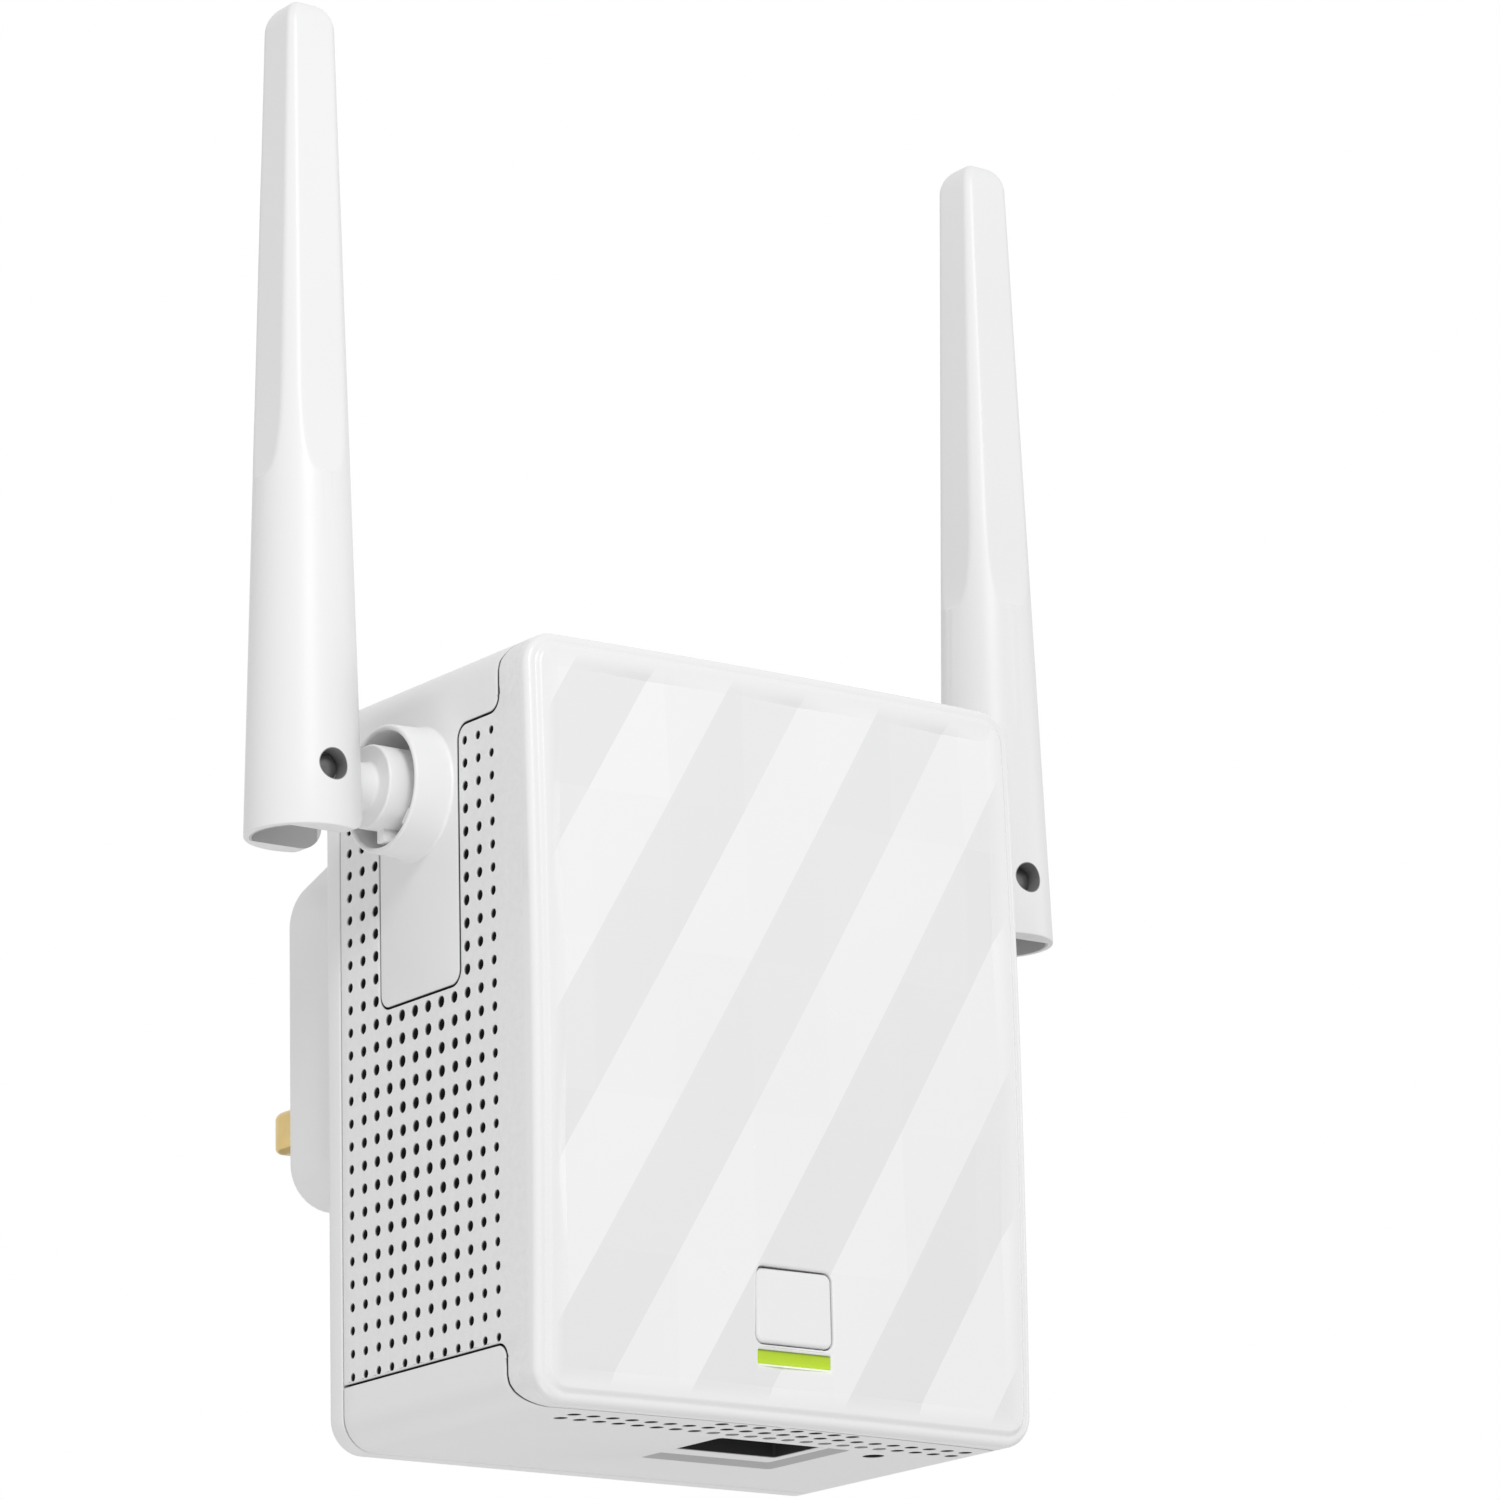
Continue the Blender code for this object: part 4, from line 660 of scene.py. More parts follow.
def face_outline():
    """Inner edge of the border, with a point wherever a crease meets it.

    Returns the side points in order as (x, z, which side) going right, up, left and down.
    """
    left, right = -HALF_WIDTH + BORDER, HALF_WIDTH - BORDER
    low, high = BOTTOM + BORDER, TOP - BORDER
    ends = np.array([point for line in lattice_lines() for point in line])
    sides = []
    for side, (fixed, value, start, end) in enumerate(((1, low, left, right), (0, right, low, high),
                                                       (1, high, right, left), (0, left, high, low))):
        free = 1 - fixed
        met = ends[np.abs(ends[:, fixed] - value) < 1e-6, free]
        places = np.concatenate([np.linspace(start, end, 24), met])
        places = np.unique(np.round(places, 8))
        keep = [places[0]]
        for place in places[1:]:
            if place - keep[-1] > 0.05 * MM or np.min(np.abs(met - place)) < 1e-7:
                if place - keep[-1] <= 0.05 * MM and len(keep) > 1:
                    keep[-1] = place
                else:
                    keep.append(place)
        keep = np.array(keep)
        keep = keep if end > start else keep[::-1]
        for place in keep:
            sides.append((place, value, side) if fixed == 1 else (value, place, side))
    return sides


def border_ring(places, inset):
    """Outline of the case drawn in by inset, point for point with the inner edge of the border.

    Side points move straight out; at each corner a fan of points turns about the corner of
    the inner edge.
    """
    ring = []
    reach = BORDER - inset
    directions = ((0, -1), (1, 0), (0, 1), (-1, 0))
    for index, (x, z, side) in enumerate(places):
        dx, dz = directions[side]
        ring.append((x + dx * reach, z + dz * reach))
        following = places[(index + 1) % len(places)]
        if following[2] != side:
            start = math.degrees(math.atan2(dz, dx))
            for angle in np.radians(np.linspace(start, start + 90, 11)[1:-1]):
                ring.append((x + reach * math.cos(angle), z + reach * math.sin(angle)))
    return np.array(ring)


def border_depth(inset, smooth, pleated):
    """Depth of the border: a rim with a rounded edge, then a step up along a cosine to the face."""
    if inset >= STEP_HEAD:
        return smooth + ((inset - STEP_HEAD) / (BORDER - STEP_HEAD)) ** 2 * (pleated - smooth)
    share = min(max((inset - STEP_FOOT) / (STEP_HEAD - STEP_FOOT), 0), 1)
    edge = max(RIM_ROUND - inset, 0)
    fall = RIM_ROUND - math.sqrt(max(RIM_ROUND ** 2 - edge ** 2, 0))
    return smooth + STEP_DEPTH * (0.5 + 0.5 * math.cos(math.pi * share)) + fall


def openings():
    """Outlines of the button's hole and the light's slot in the face."""
    button_low, button_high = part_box("pairing_button")
    light_low, light_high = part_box("light_pipe")
    lip = BUTTON_LIP - 0.12 * MM
    low = (button_low[0] + lip, button_low[2] + lip)
    high = (button_high[0] - lip, button_high[2] - lip)
    slot_low = (light_low[0] + 0.05 * MM, light_low[2] + 0.05 * MM)
    slot_high = (light_high[0] - 0.05 * MM, min(light_high[2] + BAR_LIFT, low[1] - BAR_SPACE))
    return rounded_rectangle(low, high, 0.85 * MM), rounded_rectangle(slot_low, slot_high, 0.12 * MM, 3)


def add_face(shape):
    """Face of the cover with its border and rim, as one closed shell."""
    places = face_outline()
    outline = np.array([(x, z) for x, z, _ in places])
    first = [i for i in range(len(outline)) if not np.allclose(outline[i], outline[i - 1], atol=1e-7)]
    loop = outline[first]
    holes = [anticlockwise(hole) for hole in openings()]
    soft = [(0.22 * MM, 0.0), (0.11 * MM, 0.03 * MM), (0.03 * MM, 0.11 * MM), (0.0, 0.25 * MM), (0.0, WALL)]
    lines = lattice_lines()
    extra = [point for line in lines for point in line]
    pairs = [(2 * i, 2 * i + 1) for i in range(len(lines))]
    flat, faces, origins = triangulated([loop] + [drawn_in(h, -soft[0][0]) for h in holes], extra, pairs)
    depth = folded(flat[:, 0], flat[:, 1])
    outer = np.stack([flat[:, 0], depth, flat[:, 1]], 1)
    shape.add(outer, faces)
    inner = outer + (0, WALL, 0)
    start = len(loop)
    for hole in holes:
        at = origins[start:start + len(hole)]
        inner[at] = np.stack([hole[:, 0], outer[at, 1] + WALL, hole[:, 1]], 1)
        rings = []
        for out, drop in soft:
            ring = drawn_in(hole, -out)
            rings.append(np.stack([ring[:, 0], outer[at, 1] + drop, ring[:, 1]], 1))
        shape.grid(rings, caps=False)
        start += len(hole)
    shape.add(inner, faces[:, ::-1])
    inner_edge = border_ring(places, BORDER)
    smooth = dome(inner_edge[:, 0], inner_edge[:, 1])
    pleated = folded(inner_edge[:, 0], inner_edge[:, 1])
    insets = list(np.linspace(BORDER, STEP_HEAD, 5)) + list(np.linspace(STEP_HEAD, STEP_FOOT, 9)[1:])
    insets += [RIM_ROUND * (1 - math.sin(a)) for a in np.radians(np.linspace(0, 90, 9))]
    rings = []
    for inset in insets:
        ring = border_ring(places, inset)
        rings.append(np.stack([ring[:, 0], border_depth(inset, smooth, pleated), ring[:, 1]], 1))
    rim = border_ring(places, 0)
    inside = border_ring(places, WALL)
    joint = np.full(len(rim), FACE_JOINT)
    rings.append(np.stack([rim[:, 0], joint, rim[:, 1]], 1))
    rings.append(np.stack([inside[:, 0], joint, inside[:, 1]], 1))
    rings.append(np.stack([inside[:, 0], smooth + WALL + 0.4 * MM, inside[:, 1]], 1))
    rings.append(np.stack([inner_edge[:, 0], pleated + WALL, inner_edge[:, 1]], 1))
    shape.grid(rings, caps=False)


# --- finishes --------------------------------------------------------------------------------


class Finish:
    """Small helper that builds a material's nodes round its Principled shader."""

    def __init__(self, name):
        self.material = bpy.data.materials.new(name)
        self.material.use_nodes = True
        self.tree = self.material.node_tree
        self.shader = self.tree.nodes["Principled BSDF"]
        self.coordinates = self.tree.nodes.new("ShaderNodeTexCoord").outputs["Object"]

    def put(self, **values):
        for name, value in values.items():
            self.shader.inputs[name.replace("_", " ")].default_value = value
        return self

    def node(self, kind, **settings):
        node = self.tree.nodes.new(kind)
        for name, value in settings.items():
            setattr(node, name, value)
        return node

    def link(self, source, target):
        self.tree.links.new(source, target)

    def noise(self, scale, detail=2.0, roughness=0.5):
        noise = self.node("ShaderNodeTexNoise")
        noise.inputs["Scale"].default_value = scale
        noise.inputs["Detail"].default_value = detail
        noise.inputs["Roughness"].default_value = roughness
        self.link(self.coordinates, noise.inputs["Vector"])
        return noise.outputs["Fac"]

    def ramp(self, source, *stops):
        ramp = self.node("ShaderNodeValToRGB")
        elements = ramp.color_ramp.elements
        while len(elements) < len(stops):
            elements.new(0.5)
        for element, (position, colour) in zip(elements, stops):
            element.position = position
            element.color = (*colour, 1.0)
        self.link(source, ramp.inputs["Fac"])
        return ramp.outputs["Color"]

    def span(self, source, low, high, start=0.0, end=1.0):
        node = self.node("ShaderNodeMapRange")
        node.inputs["From Min"].default_value = start
        node.inputs["From Max"].default_value = end
        node.inputs["To Min"].default_value = low
        node.inputs["To Max"].default_value = high
        self.link(source, node.inputs["Value"])
        return node.outputs["Result"]

    def maths(self, operation, *sources):
        """Math node whose inputs are sockets or plain numbers."""
        node = self.node("ShaderNodeMath", operation=operation)
        for socket, source in zip(node.inputs, sources):
            if isinstance(source, (int, float)):
                socket.default_value = source
            else:
                self.link(source, socket)
        return node.outputs[0]

    def axes(self):
        node = self.node("ShaderNodeSeparateXYZ")
        self.link(self.coordinates, node.inputs[0])
        return node.outputs["X"], node.outputs["Y"], node.outputs["Z"]

    def beyond_box(self, half_x, half_z, middle_z):
        """How far a place lies outside a rectangle about (0, middle_z) along each axis."""
        x, _, z = self.axes()
        out_x = self.maths("SUBTRACT", self.maths("ABSOLUTE", x), half_x)
        out_z = self.maths("SUBTRACT", self.maths("ABSOLUTE", self.maths("SUBTRACT", z, middle_z)), half_z)
        return out_x, out_z

    def below_surface(self):
        """Depth below the case's side walls: minus the distance to their rounded rectangle."""
        out_x, out_z = self.beyond_box(STRAIGHT, (TOP - BOTTOM) / 2 - CORNER, MIDDLE)
        past_x, past_z = self.maths("MAXIMUM", out_x, 0.0), self.maths("MAXIMUM", out_z, 0.0)
        square = self.maths("ADD", self.maths("MULTIPLY", past_x, past_x),
                            self.maths("MULTIPLY", past_z, past_z))
        within_box = self.maths("MINIMUM", self.maths("MAXIMUM", out_x, out_z), 0.0)
        distance = self.maths("ADD", self.maths("SQRT", square), within_box)
        return self.maths("SUBTRACT", CORNER, distance)

    def mixed(self, blend, factor, first, second):
        """Colour mix of two sockets or plain colours."""
        node = self.node("ShaderNodeMix", data_type="RGBA", blend_type=blend)
        sockets = node.inputs[0], node.inputs[6], node.inputs[7]
        for socket, source in zip(sockets, (factor, first, second)):
            if isinstance(source, float):
                socket.default_value = source
            elif isinstance(source, tuple):
                socket.default_value = (*source, 1.0)
            else:
                self.link(source, socket)
        return node.outputs[2]

    def bump(self, source, strength, distance):
        bump = self.node("ShaderNodeBump")
        bump.inputs["Strength"].default_value = strength
        bump.inputs["Distance"].default_value = distance
        self.link(source, bump.inputs["Height"])
        self.link(bump.outputs["Normal"], self.shader.inputs["Normal"])
        return self


def tinted(finish, colour, spread, scale, roughness, rough_spread=0.05, hollow=(), factor=None):
    """Colour and roughness that drift slightly over the surface.

    The colour is multiplied by factor, if there is one, then goes over to the shade of each
    hollow by its share.
    """
    low = tuple(c * (1 - spread) for c in colour)
    high = tuple(min(c * (1 + spread), 1) for c in colour)
    tone = finish.ramp(finish.noise(scale), (0.3, low), (0.7, high))
    if factor is not None:
        tone = finish.mixed("MULTIPLY", 1.0, tone, factor)
    for share, shade in hollow:
        tone = finish.mixed("MIX", share, tone, shade)
    finish.link(tone, finish.shader.inputs["Base Color"])
    rough = finish.span(finish.noise(scale * 3), roughness - rough_spread, roughness + rough_spread)
    finish.link(rough, finish.shader.inputs["Roughness"])
    return finish


WHITE = (0.82, 0.82, 0.823)
# Painted shade: the next four colours stand in for shade on the white plastic, in holes and seams, in the
# pin's bore, inside the aerial's fork and on the slopes of the port's recess.
PAINTED_HOLE_SHADE = (0.03, 0.03, 0.03)
PAINTED_BORE_SHADE = (0.26, 0.26, 0.26)
PAINTED_FORK_SHADE = (0.52, 0.52, 0.52)
PAINTED_SLOPE_SHADE = (0.45, 0.45, 0.45)
# Painted light and shade: colour factors of the two sets of alternate pleats on the face.
PAINTED_PLEAT_SHADING = (0.955, 1.03)


def pleat_painted_shading(finish):
    """Factor of the face's colour: painted light and shade make alternate pleats a little lighter
    and darker, with a faint change from cell to cell of the lattice, and it fades out at the border."""
    x, _, z = finish.axes()
    u = finish.maths("DIVIDE", finish.maths("SUBTRACT", x, LATTICE[0]), CELL[0])
    v = finish.maths("DIVIDE", finish.maths("SUBTRACT", z, LATTICE[1]), CELL[1])
    turn = finish.maths("FLOORED_MODULO", finish.maths("FLOOR", finish.maths("SUBTRACT", u, v)), 2.0)
    cell = finish.node("ShaderNodeCombineXYZ")
    finish.link(finish.maths("FLOOR", u), cell.inputs["X"])
    finish.link(finish.maths("FLOOR", v), cell.inputs["Y"])
    finish.link(turn, cell.inputs["Z"])
    chance = finish.node("ShaderNodeTexWhiteNoise", noise_dimensions="3D")
    finish.link(cell.outputs[0], chance.inputs["Vector"])
    scatter = finish.span(chance.outputs["Value"], -0.012, 0.012)
    tone = finish.maths("ADD", finish.span(turn, *PAINTED_PLEAT_SHADING), scatter)
    out_x, out_z = finish.beyond_box(HALF_WIDTH - BORDER, (TOP - BOTTOM) / 2 - BORDER, MIDDLE)
    inside = finish.span(finish.maths("MAXIMUM", out_x, out_z), 1.0, 0.0, 0.4 * MM, 1.3 * MM)
    return finish.maths("ADD", 1.0, finish.maths("MULTIPLY", inside, finish.maths("SUBTRACT", tone, 1.0)))


def light_spill(finish):
    """Share of the light bar's glow that the plastic round it takes on, fading within 0.7 mm."""
    low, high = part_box("light_pipe")
    half_x, half_z = (high[0] - low[0]) / 2 - 0.5 * MM, (high[2] - low[2]) / 2 - 0.1 * MM
    out_x, out_z = finish.beyond_box(half_x, half_z, (low[2] + high[2]) / 2)
    away = finish.maths("MAXIMUM", finish.maths("MAXIMUM", out_x, out_z), 0.0)
    near = finish.span(away, 1.0, 0.0, 0.0, 0.75 * MM)
    return finish.maths("MULTIPLY", near, near)


def glossy_white():
    """Moulded front face: glossy white with a very faint unevenness of the mould."""
    finish = Finish("glossy_white_moulding")
    # The factor paints light and shade onto alternate pleats.
    tinted(finish, WHITE, 0.006, 60, 0.26, 0.03, factor=pleat_painted_shading(finish))
    finish.put(Specular_IOR_Level=0.45, Coat_Weight=0.15, Coat_Roughness=0.12)
    finish.shader.inputs["Emission Color"].default_value = (0.62, 0.78, 0.14, 1.0)
    spill = finish.maths("MULTIPLY", light_spill(finish), 0.30)
    finish.link(spill, finish.shader.inputs["Emission Strength"])
    return finish.bump(finish.noise(420, 1.0), 0.03, 0.00004).material


def inside_box(finish, low, high):
    """1 within a box given by two corners, where None leaves a side open, and 0 outside."""
    share = 1.0
    for axis, start, end in zip(finish.axes(), low, high):
        for limit, test in ((start, "GREATER_THAN"), (end, "LESS_THAN")):
            if limit is not None:
                share = finish.maths("MULTIPLY", finish.maths(test, axis, float(limit)), share)
    return share


def off_axis(finish, along, centre):
    """Distance from the line through centre along one axis, the same for left and right."""
    square = 0.0
    for name, axis, middle in zip("XYZ", finish.axes(), centre):
        if name == along:
            continue
        axis = finish.maths("ABSOLUTE", axis) if name == "X" else axis
        gap = finish.maths("SUBTRACT", axis, float(middle))
        square = finish.maths("ADD", finish.maths("MULTIPLY", gap, gap), square)
    return finish.maths("SQRT", square)


def satin_white():
    """Housing: satin white, finely spark-eroded, with painted shade that darkens the holes in its underside,
    the port's recess and its edges along the parting lines.
    """
    finish = Finish("satin_white_moulding")
    low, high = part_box("ethernet_jack")
    port = inside_box(finish, (low[0] - 2 * MM, low[1] - MM, None), (high[0] + 2 * MM, high[1] + MM, None))
    cup = finish.maths("LESS_THAN", off_axis(finish, "X", PIVOTS["right"]), CUP_BORE + 0.4 * MM)
    spared = finish.maths("ADD", finish.maths("MULTIPLY", port, RECESS_DEPTH), cup)
    depth = finish.maths("SUBTRACT", finish.below_surface(), spared)
    # Painted shade: holes, the port's mouth and the rounded edges along the parting lines turn near black
    # below the surface.
    holes = finish.span(depth, 0.0, 1.0, 0.02 * MM, 0.09 * MM)
    # Painted shade on the slopes of the port's recess.
    slope = finish.maths("MULTIPLY", port, finish.maths("LESS_THAN", finish.maths("ABSOLUTE", finish.maths(
        "SUBTRACT", finish.below_surface(), RECESS_DEPTH / 2)), 0.22 * MM))
    tinted(finish, WHITE, 0.008, 50, 0.42, 0.04, hollow=[(slope, PAINTED_SLOPE_SHADE), (holes, PAINTED_HOLE_SHADE)])
    finish.put(Specular_IOR_Level=0.4)
    return finish.bump(finish.noise(3200, 2.0), 0.10, 0.00003).material


def plain_white():
    """Pieces away from the case's wall: the same satin white."""
    finish = tinted(Finish("satin_white_part"), WHITE, 0.008, 50, 0.40, 0.04)
    finish.put(Specular_IOR_Level=0.4)
    return finish.bump(finish.noise(3200, 2.0), 0.10, 0.00003).material


def aerial_white():
    """Aerials: satin white, with painted shade in the pin's bore and in the forked foot."""
    finish = Finish("satin_white_aerial")
    pivot = PIVOTS["right"]
    # Painted shade in the pin's bore.
    bore = finish.maths("LESS_THAN", off_axis(finish, "Y", pivot), 1.42 * MM)
    # Painted shade inside the forked foot of the aerial.
    low, high = (None, pivot[1] - 3.13 * MM, None), (None, pivot[1] + 3.13 * MM, pivot[2] + 3.4 * MM)
    foot = finish.maths("MULTIPLY", inside_box(finish, low, high),
                        finish.maths("LESS_THAN", off_axis(finish, "Z", pivot), 4.6 * MM))
    tinted(finish, WHITE, 0.008, 50, 0.40, 0.04, hollow=[(foot, PAINTED_FORK_SHADE), (bore, PAINTED_BORE_SHADE)])
    finish.put(Specular_IOR_Level=0.4)
    return finish.bump(finish.noise(3200, 2.0), 0.10, 0.00003).material


def grained_white():
    """Pierced side walls: white with a stippled grain, each speck about 0.2 mm, and painted shade in the
    vent holes and along the parting lines.
    """
    finish = Finish("grained_white_moulding")
    # Painted shade: the walls of the vent holes and the rounded edges along the parting lines turn near
    # black.
    holes = finish.span(finish.below_surface(), 0.0, 1.0, 0.04 * MM, 0.22 * MM)
    tinted(finish, WHITE, 0.02, 1500, 0.5, 0.08, hollow=[(holes, PAINTED_HOLE_SHADE)])
    finish.put(Specular_IOR_Level=0.4)
    return finish.bump(finish.noise(5200, 3.0, 0.65), 0.45, 0.00006).material


def lit_green():
    """Light bar: clear lime plastic lit from behind, brighter towards its lower edge, with a painted shadow
    along its top edge.
    """
    finish = Finish("lit_green_bar")
    low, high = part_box("light_pipe")
    separate = finish.node("ShaderNodeSeparateXYZ")
    finish.link(finish.coordinates, separate.inputs[0])
    level = finish.span(separate.outputs["Z"], 0.0, 1.0, low[2], high[2] + BAR_LIFT)
    # Painted shadow: the ramp's last stop darkens the bar's top edge.
    colour = finish.ramp(level, (0.0, (0.50, 0.66, 0.04)), (0.25, (0.38, 0.54, 0.012)),
                         (0.78, (0.34, 0.48, 0.010)), (0.96, (0.07, 0.13, 0.0)))
    finish.link(colour, finish.shader.inputs["Base Color"])
    finish.link(colour, finish.shader.inputs["Emission Color"])
    finish.put(Roughness=0.25, Emission_Strength=0.28)
    return finish.bump(finish.noise(900), 0.05, 0.00005).material


def resin_black():
    """Moulded black nylon and epoxy with a dull, slightly mottled surface."""
    finish = tinted(Finish("black_moulding"), (0.022, 0.022, 0.024), 0.25, 900, 0.42, 0.1)
    return finish.bump(finish.noise(4000), 0.2, 0.00004).material


def tin_plate():
    """Tinned or zinc-plated steel with fine drawn streaks."""
    finish = tinted(Finish("tin_plate"), (0.60, 0.60, 0.61), 0.06, 700, 0.3, 0.1)
    finish.put(Metallic=1.0)
    return finish.bump(finish.noise(2600, 3.0), 0.15, 0.00003).material


def yellow_brass():
    """Brass of the pins and contacts, faintly tarnished."""
    finish = tinted(Finish("yellow_brass"), (0.65, 0.48, 0.20), 0.08, 350, 0.24, 0.08)
    finish.put(Metallic=1.0)
    return finish.bump(finish.noise(1800, 3.0), 0.12, 0.00003).material


def dark_grey_steel():
    """Hinge pins: dark grey, partly metallic steel with a fine streak."""
    finish = tinted(Finish("dark_grey_steel"), (0.16, 0.16, 0.165), 0.2, 900, 0.42, 0.1)
    finish.put(Metallic=0.7)
    return finish.bump(finish.noise(2600, 3.0), 0.15, 0.00003).material


def circuit_laminate():
    """Green solder mask over the faint pattern of the tracks beneath it."""
    finish = Finish("circuit_laminate")
    cells = finish.node("ShaderNodeTexVoronoi", distance="MANHATTAN")
    cells.inputs["Scale"].default_value = 420
    finish.link(finish.coordinates, cells.inputs["Vector"])
    colour = finish.ramp(cells.outputs["Distance"], (0.35, (0.015, 0.13, 0.05)), (0.6, (0.03, 0.22, 0.09)))
    finish.link(colour, finish.shader.inputs["Base Color"])
    finish.put(Roughness=0.35)
    return finish.bump(cells.outputs["Distance"], 0.2, 0.00005).material


def plain_plastic(name, colour, roughness):
    """Small inner part in one colour, with a slight mottle and grain."""
    finish = tinted(Finish(name), colour, 0.08, 800, roughness)
    return finish.bump(finish.noise(3000), 0.15, 0.00004).material


# --- pieces ----------------------------------------------------------------------------------


def crease(obj):
    """Marks the pleats' slight edges sharp; the border stays smooth."""
    mesh = bmesh.new()
    mesh.from_mesh(obj.data)
    half, high = HALF_WIDTH - BORDER + 0.01 * MM, (TOP - BOTTOM) / 2 - BORDER + 0.01 * MM
    for edge in mesh.edges:
        flat = all(abs(v.co.x) < half and abs(v.co.z - MIDDLE) < high for v in edge.verts)
        if flat and len(edge.link_faces) == 2 and edge.calc_face_angle(0) > math.radians(0.15):
            edge.smooth = False
    mesh.to_mesh(obj.data)
    mesh.free()


def make_front_shell(face_finish, wall_finish):
    face = Shape()
    add_face(face)
    obj = face.piece("front_face", face_finish, "case", "white_plastic", ["front_cover"])
    crease(obj)
    walls = Shape()
    add_side_walls(walls)
    walls.piece("pierced_side_walls", wall_finish, "case", "white_plastic", ["front_cover"])


def add_cup(shape, side):
    """Boss round the swivel, turned about its axis.

    The outside flares into the plate along a quarter ellipse, the lip is a half circle, and the
    bore runs down to a floor with a hole for the shaft.
    """
    angles = np.radians(np.linspace(0, 90, 9))
    reach = 3.7 * MM
    lip = (CUP_LIP - CUP_BORE) / 2
    foot = CUP_LIP + 0.12 * MM
    flare = [(0.3 * MM * (1 - math.sin(a)), foot + (CUP_FLARE - foot) * (1 - math.cos(a)))
             for a in angles[::-1]]
    outside = [(reach - lip, CUP_LIP)]
    rounding = [(reach - lip + lip * math.sin(a), CUP_LIP - lip + lip * math.cos(a))
                for a in np.radians(np.linspace(15, 165, 9))]
    inside = [(reach - lip, CUP_BORE), (-0.6 * MM, CUP_BORE), (-0.6 * MM, 2.9 * MM),
              (-WALL, 2.9 * MM), (-WALL, CUP_BORE + 0.6 * MM), (-0.05 * MM, CUP_BORE + 0.6 * MM)]
    profile = [(-0.05 * MM, CUP_FLARE)] + flare + outside + rounding + inside
    turn_profile(shape, side, profile, closed=True)
    along = math.radians(-135)
    out = np.array((math.cos(along), math.sin(along)))
    across = np.array((-math.sin(along), math.cos(along)))
    centre = np.array((SWIVEL_DEPTH, SWIVEL_HEIGHT))
    near, far, half = 4.05 * MM, CUP_BORE + 0.2 * MM, 0.8 * MM
    stop = [centre + out * r + across * w
            for r, w in ((near, -half), (far, -half), (far, half), (near, half))]
    levels = (-0.6 * MM, 3.0 * MM, 3.1 * MM)
    centre_of_stop = np.mean(stop, 0)
    rings = []
    for level, shrink in zip(levels, (1, 1, 0.93)):
        ring = [centre_of_stop + (p - centre_of_stop) * shrink for p in stop]
        rings.append([(side * (HALF_WIDTH + level), p[0], p[1]) for p in ring])
    shape.grid(rings)


def turn_profile(shape, side, profile, closed=False, sides=72, centre=None):
    """Turns (distance out from the case's side, radius) about the swivel's axis."""
    centre = (SWIVEL_DEPTH, SWIVEL_HEIGHT) if centre is None else centre
    angles = np.linspace(0, 2 * math.pi, sides, endpoint=False)
    rings = [np.stack([np.full(sides, side * (HALF_WIDTH + out)), centre[0] + radius * np.cos(angles),
                       centre[1] + radius * np.sin(angles)], 1) for out, radius in profile]
    if closed:
        rings.append(rings[0])
    shape.grid(rings, caps=not closed)


def make_housing(finish):
    shape = Shape()
    add_upper_housing(shape)
    add_lower_housing(shape)
    for side in SIDES.values():
        add_cup(shape, side)
    shape.piece("rear_housing", finish, "case", "white_plastic", ["main_housing"])


def case_ring(inset, depth, steps=10):
    """Outline of the case at a depth, drawn in by inset."""
    low, high = (-HALF_WIDTH + inset, BOTTOM + inset), (HALF_WIDTH - inset, TOP - inset)
    outline = rounded_rectangle(low, high, max(CORNER - inset, 0.5 * MM), steps)
    return np.stack([outline[:, 0], np.full(len(outline), depth), outline[:, 1]], 1)


def plug_ring(inset, depth):
    """Outline of the plug block: square below, with shoulders that slope in towards the top."""
    half, top_half = BLOCK_HALF - inset, BLOCK_TOP_HALF - inset / 2
    low, shoulder, high = BLOCK_LOW + inset, BLOCK_SHOULDER - inset / 2, BLOCK_HIGH - inset
    radius = max(BLOCK_ROUND - inset, 0.8 * MM)
    bend = radius + SHOULDER_ROUND
    outline = rounded_polygon([(-half, low, radius), (half, low, radius), (half, shoulder, bend),
                               (top_half, high, radius), (-top_half, high, radius),
                               (-half, shoulder, bend)], 10)
    return np.stack([outline[:, 0], np.full(len(outline), depth), outline[:, 1]], 1)


def make_rear_cover(finish):
    """Flange and hollow plug block: outlines stacked along the depth, closed by flat plates.

    Each rounded edge is a quarter turn a: the outline is drawn in by edge * (1 - cos a) while
    its depth moves on by edge * sin a.  A plate fills the space between two outlines.
    """
    shape = Shape()
    front, back = FLANGE_FRONT + SEAM / 2, FLANGE_FRONT + FLANGE_THICKNESS
    turns = np.radians(np.linspace(0, 90, 6))
    rim = [case_ring(EDGE * (1 - math.sin(a)), front + EDGE * (1 - math.cos(a))) for a in turns]
    rim += [case_ring(FLANGE_EDGE * (1 - math.cos(a)), back - FLANGE_EDGE * (1 - math.sin(a)))
            for a in turns]
    block = [plug_ring(0, back)]
    block += [plug_ring(BLOCK_EDGE * (1 - math.cos(a)), -BLOCK_EDGE * (1 - math.sin(a))) for a in turns]
    hollow = [plug_ring(WALL, front), plug_ring(WALL, -WALL)]
    for rings in (rim, block, hollow):
        shape.grid(rings, caps=False)
    for rings in ((rim[0], hollow[0]), (rim[-1], block[0]), (block[-1],), (hollow[-1],)):
        flat, faces, _ = triangulated([ring[:, [0, 2]] for ring in rings])
        shape.add(np.stack([flat[:, 0], np.full(len(flat), rings[0][0, 1]), flat[:, 1]], 1), faces)
    shape.piece("rear_flange", finish, "case", "white_plastic", ["rear_cover"])


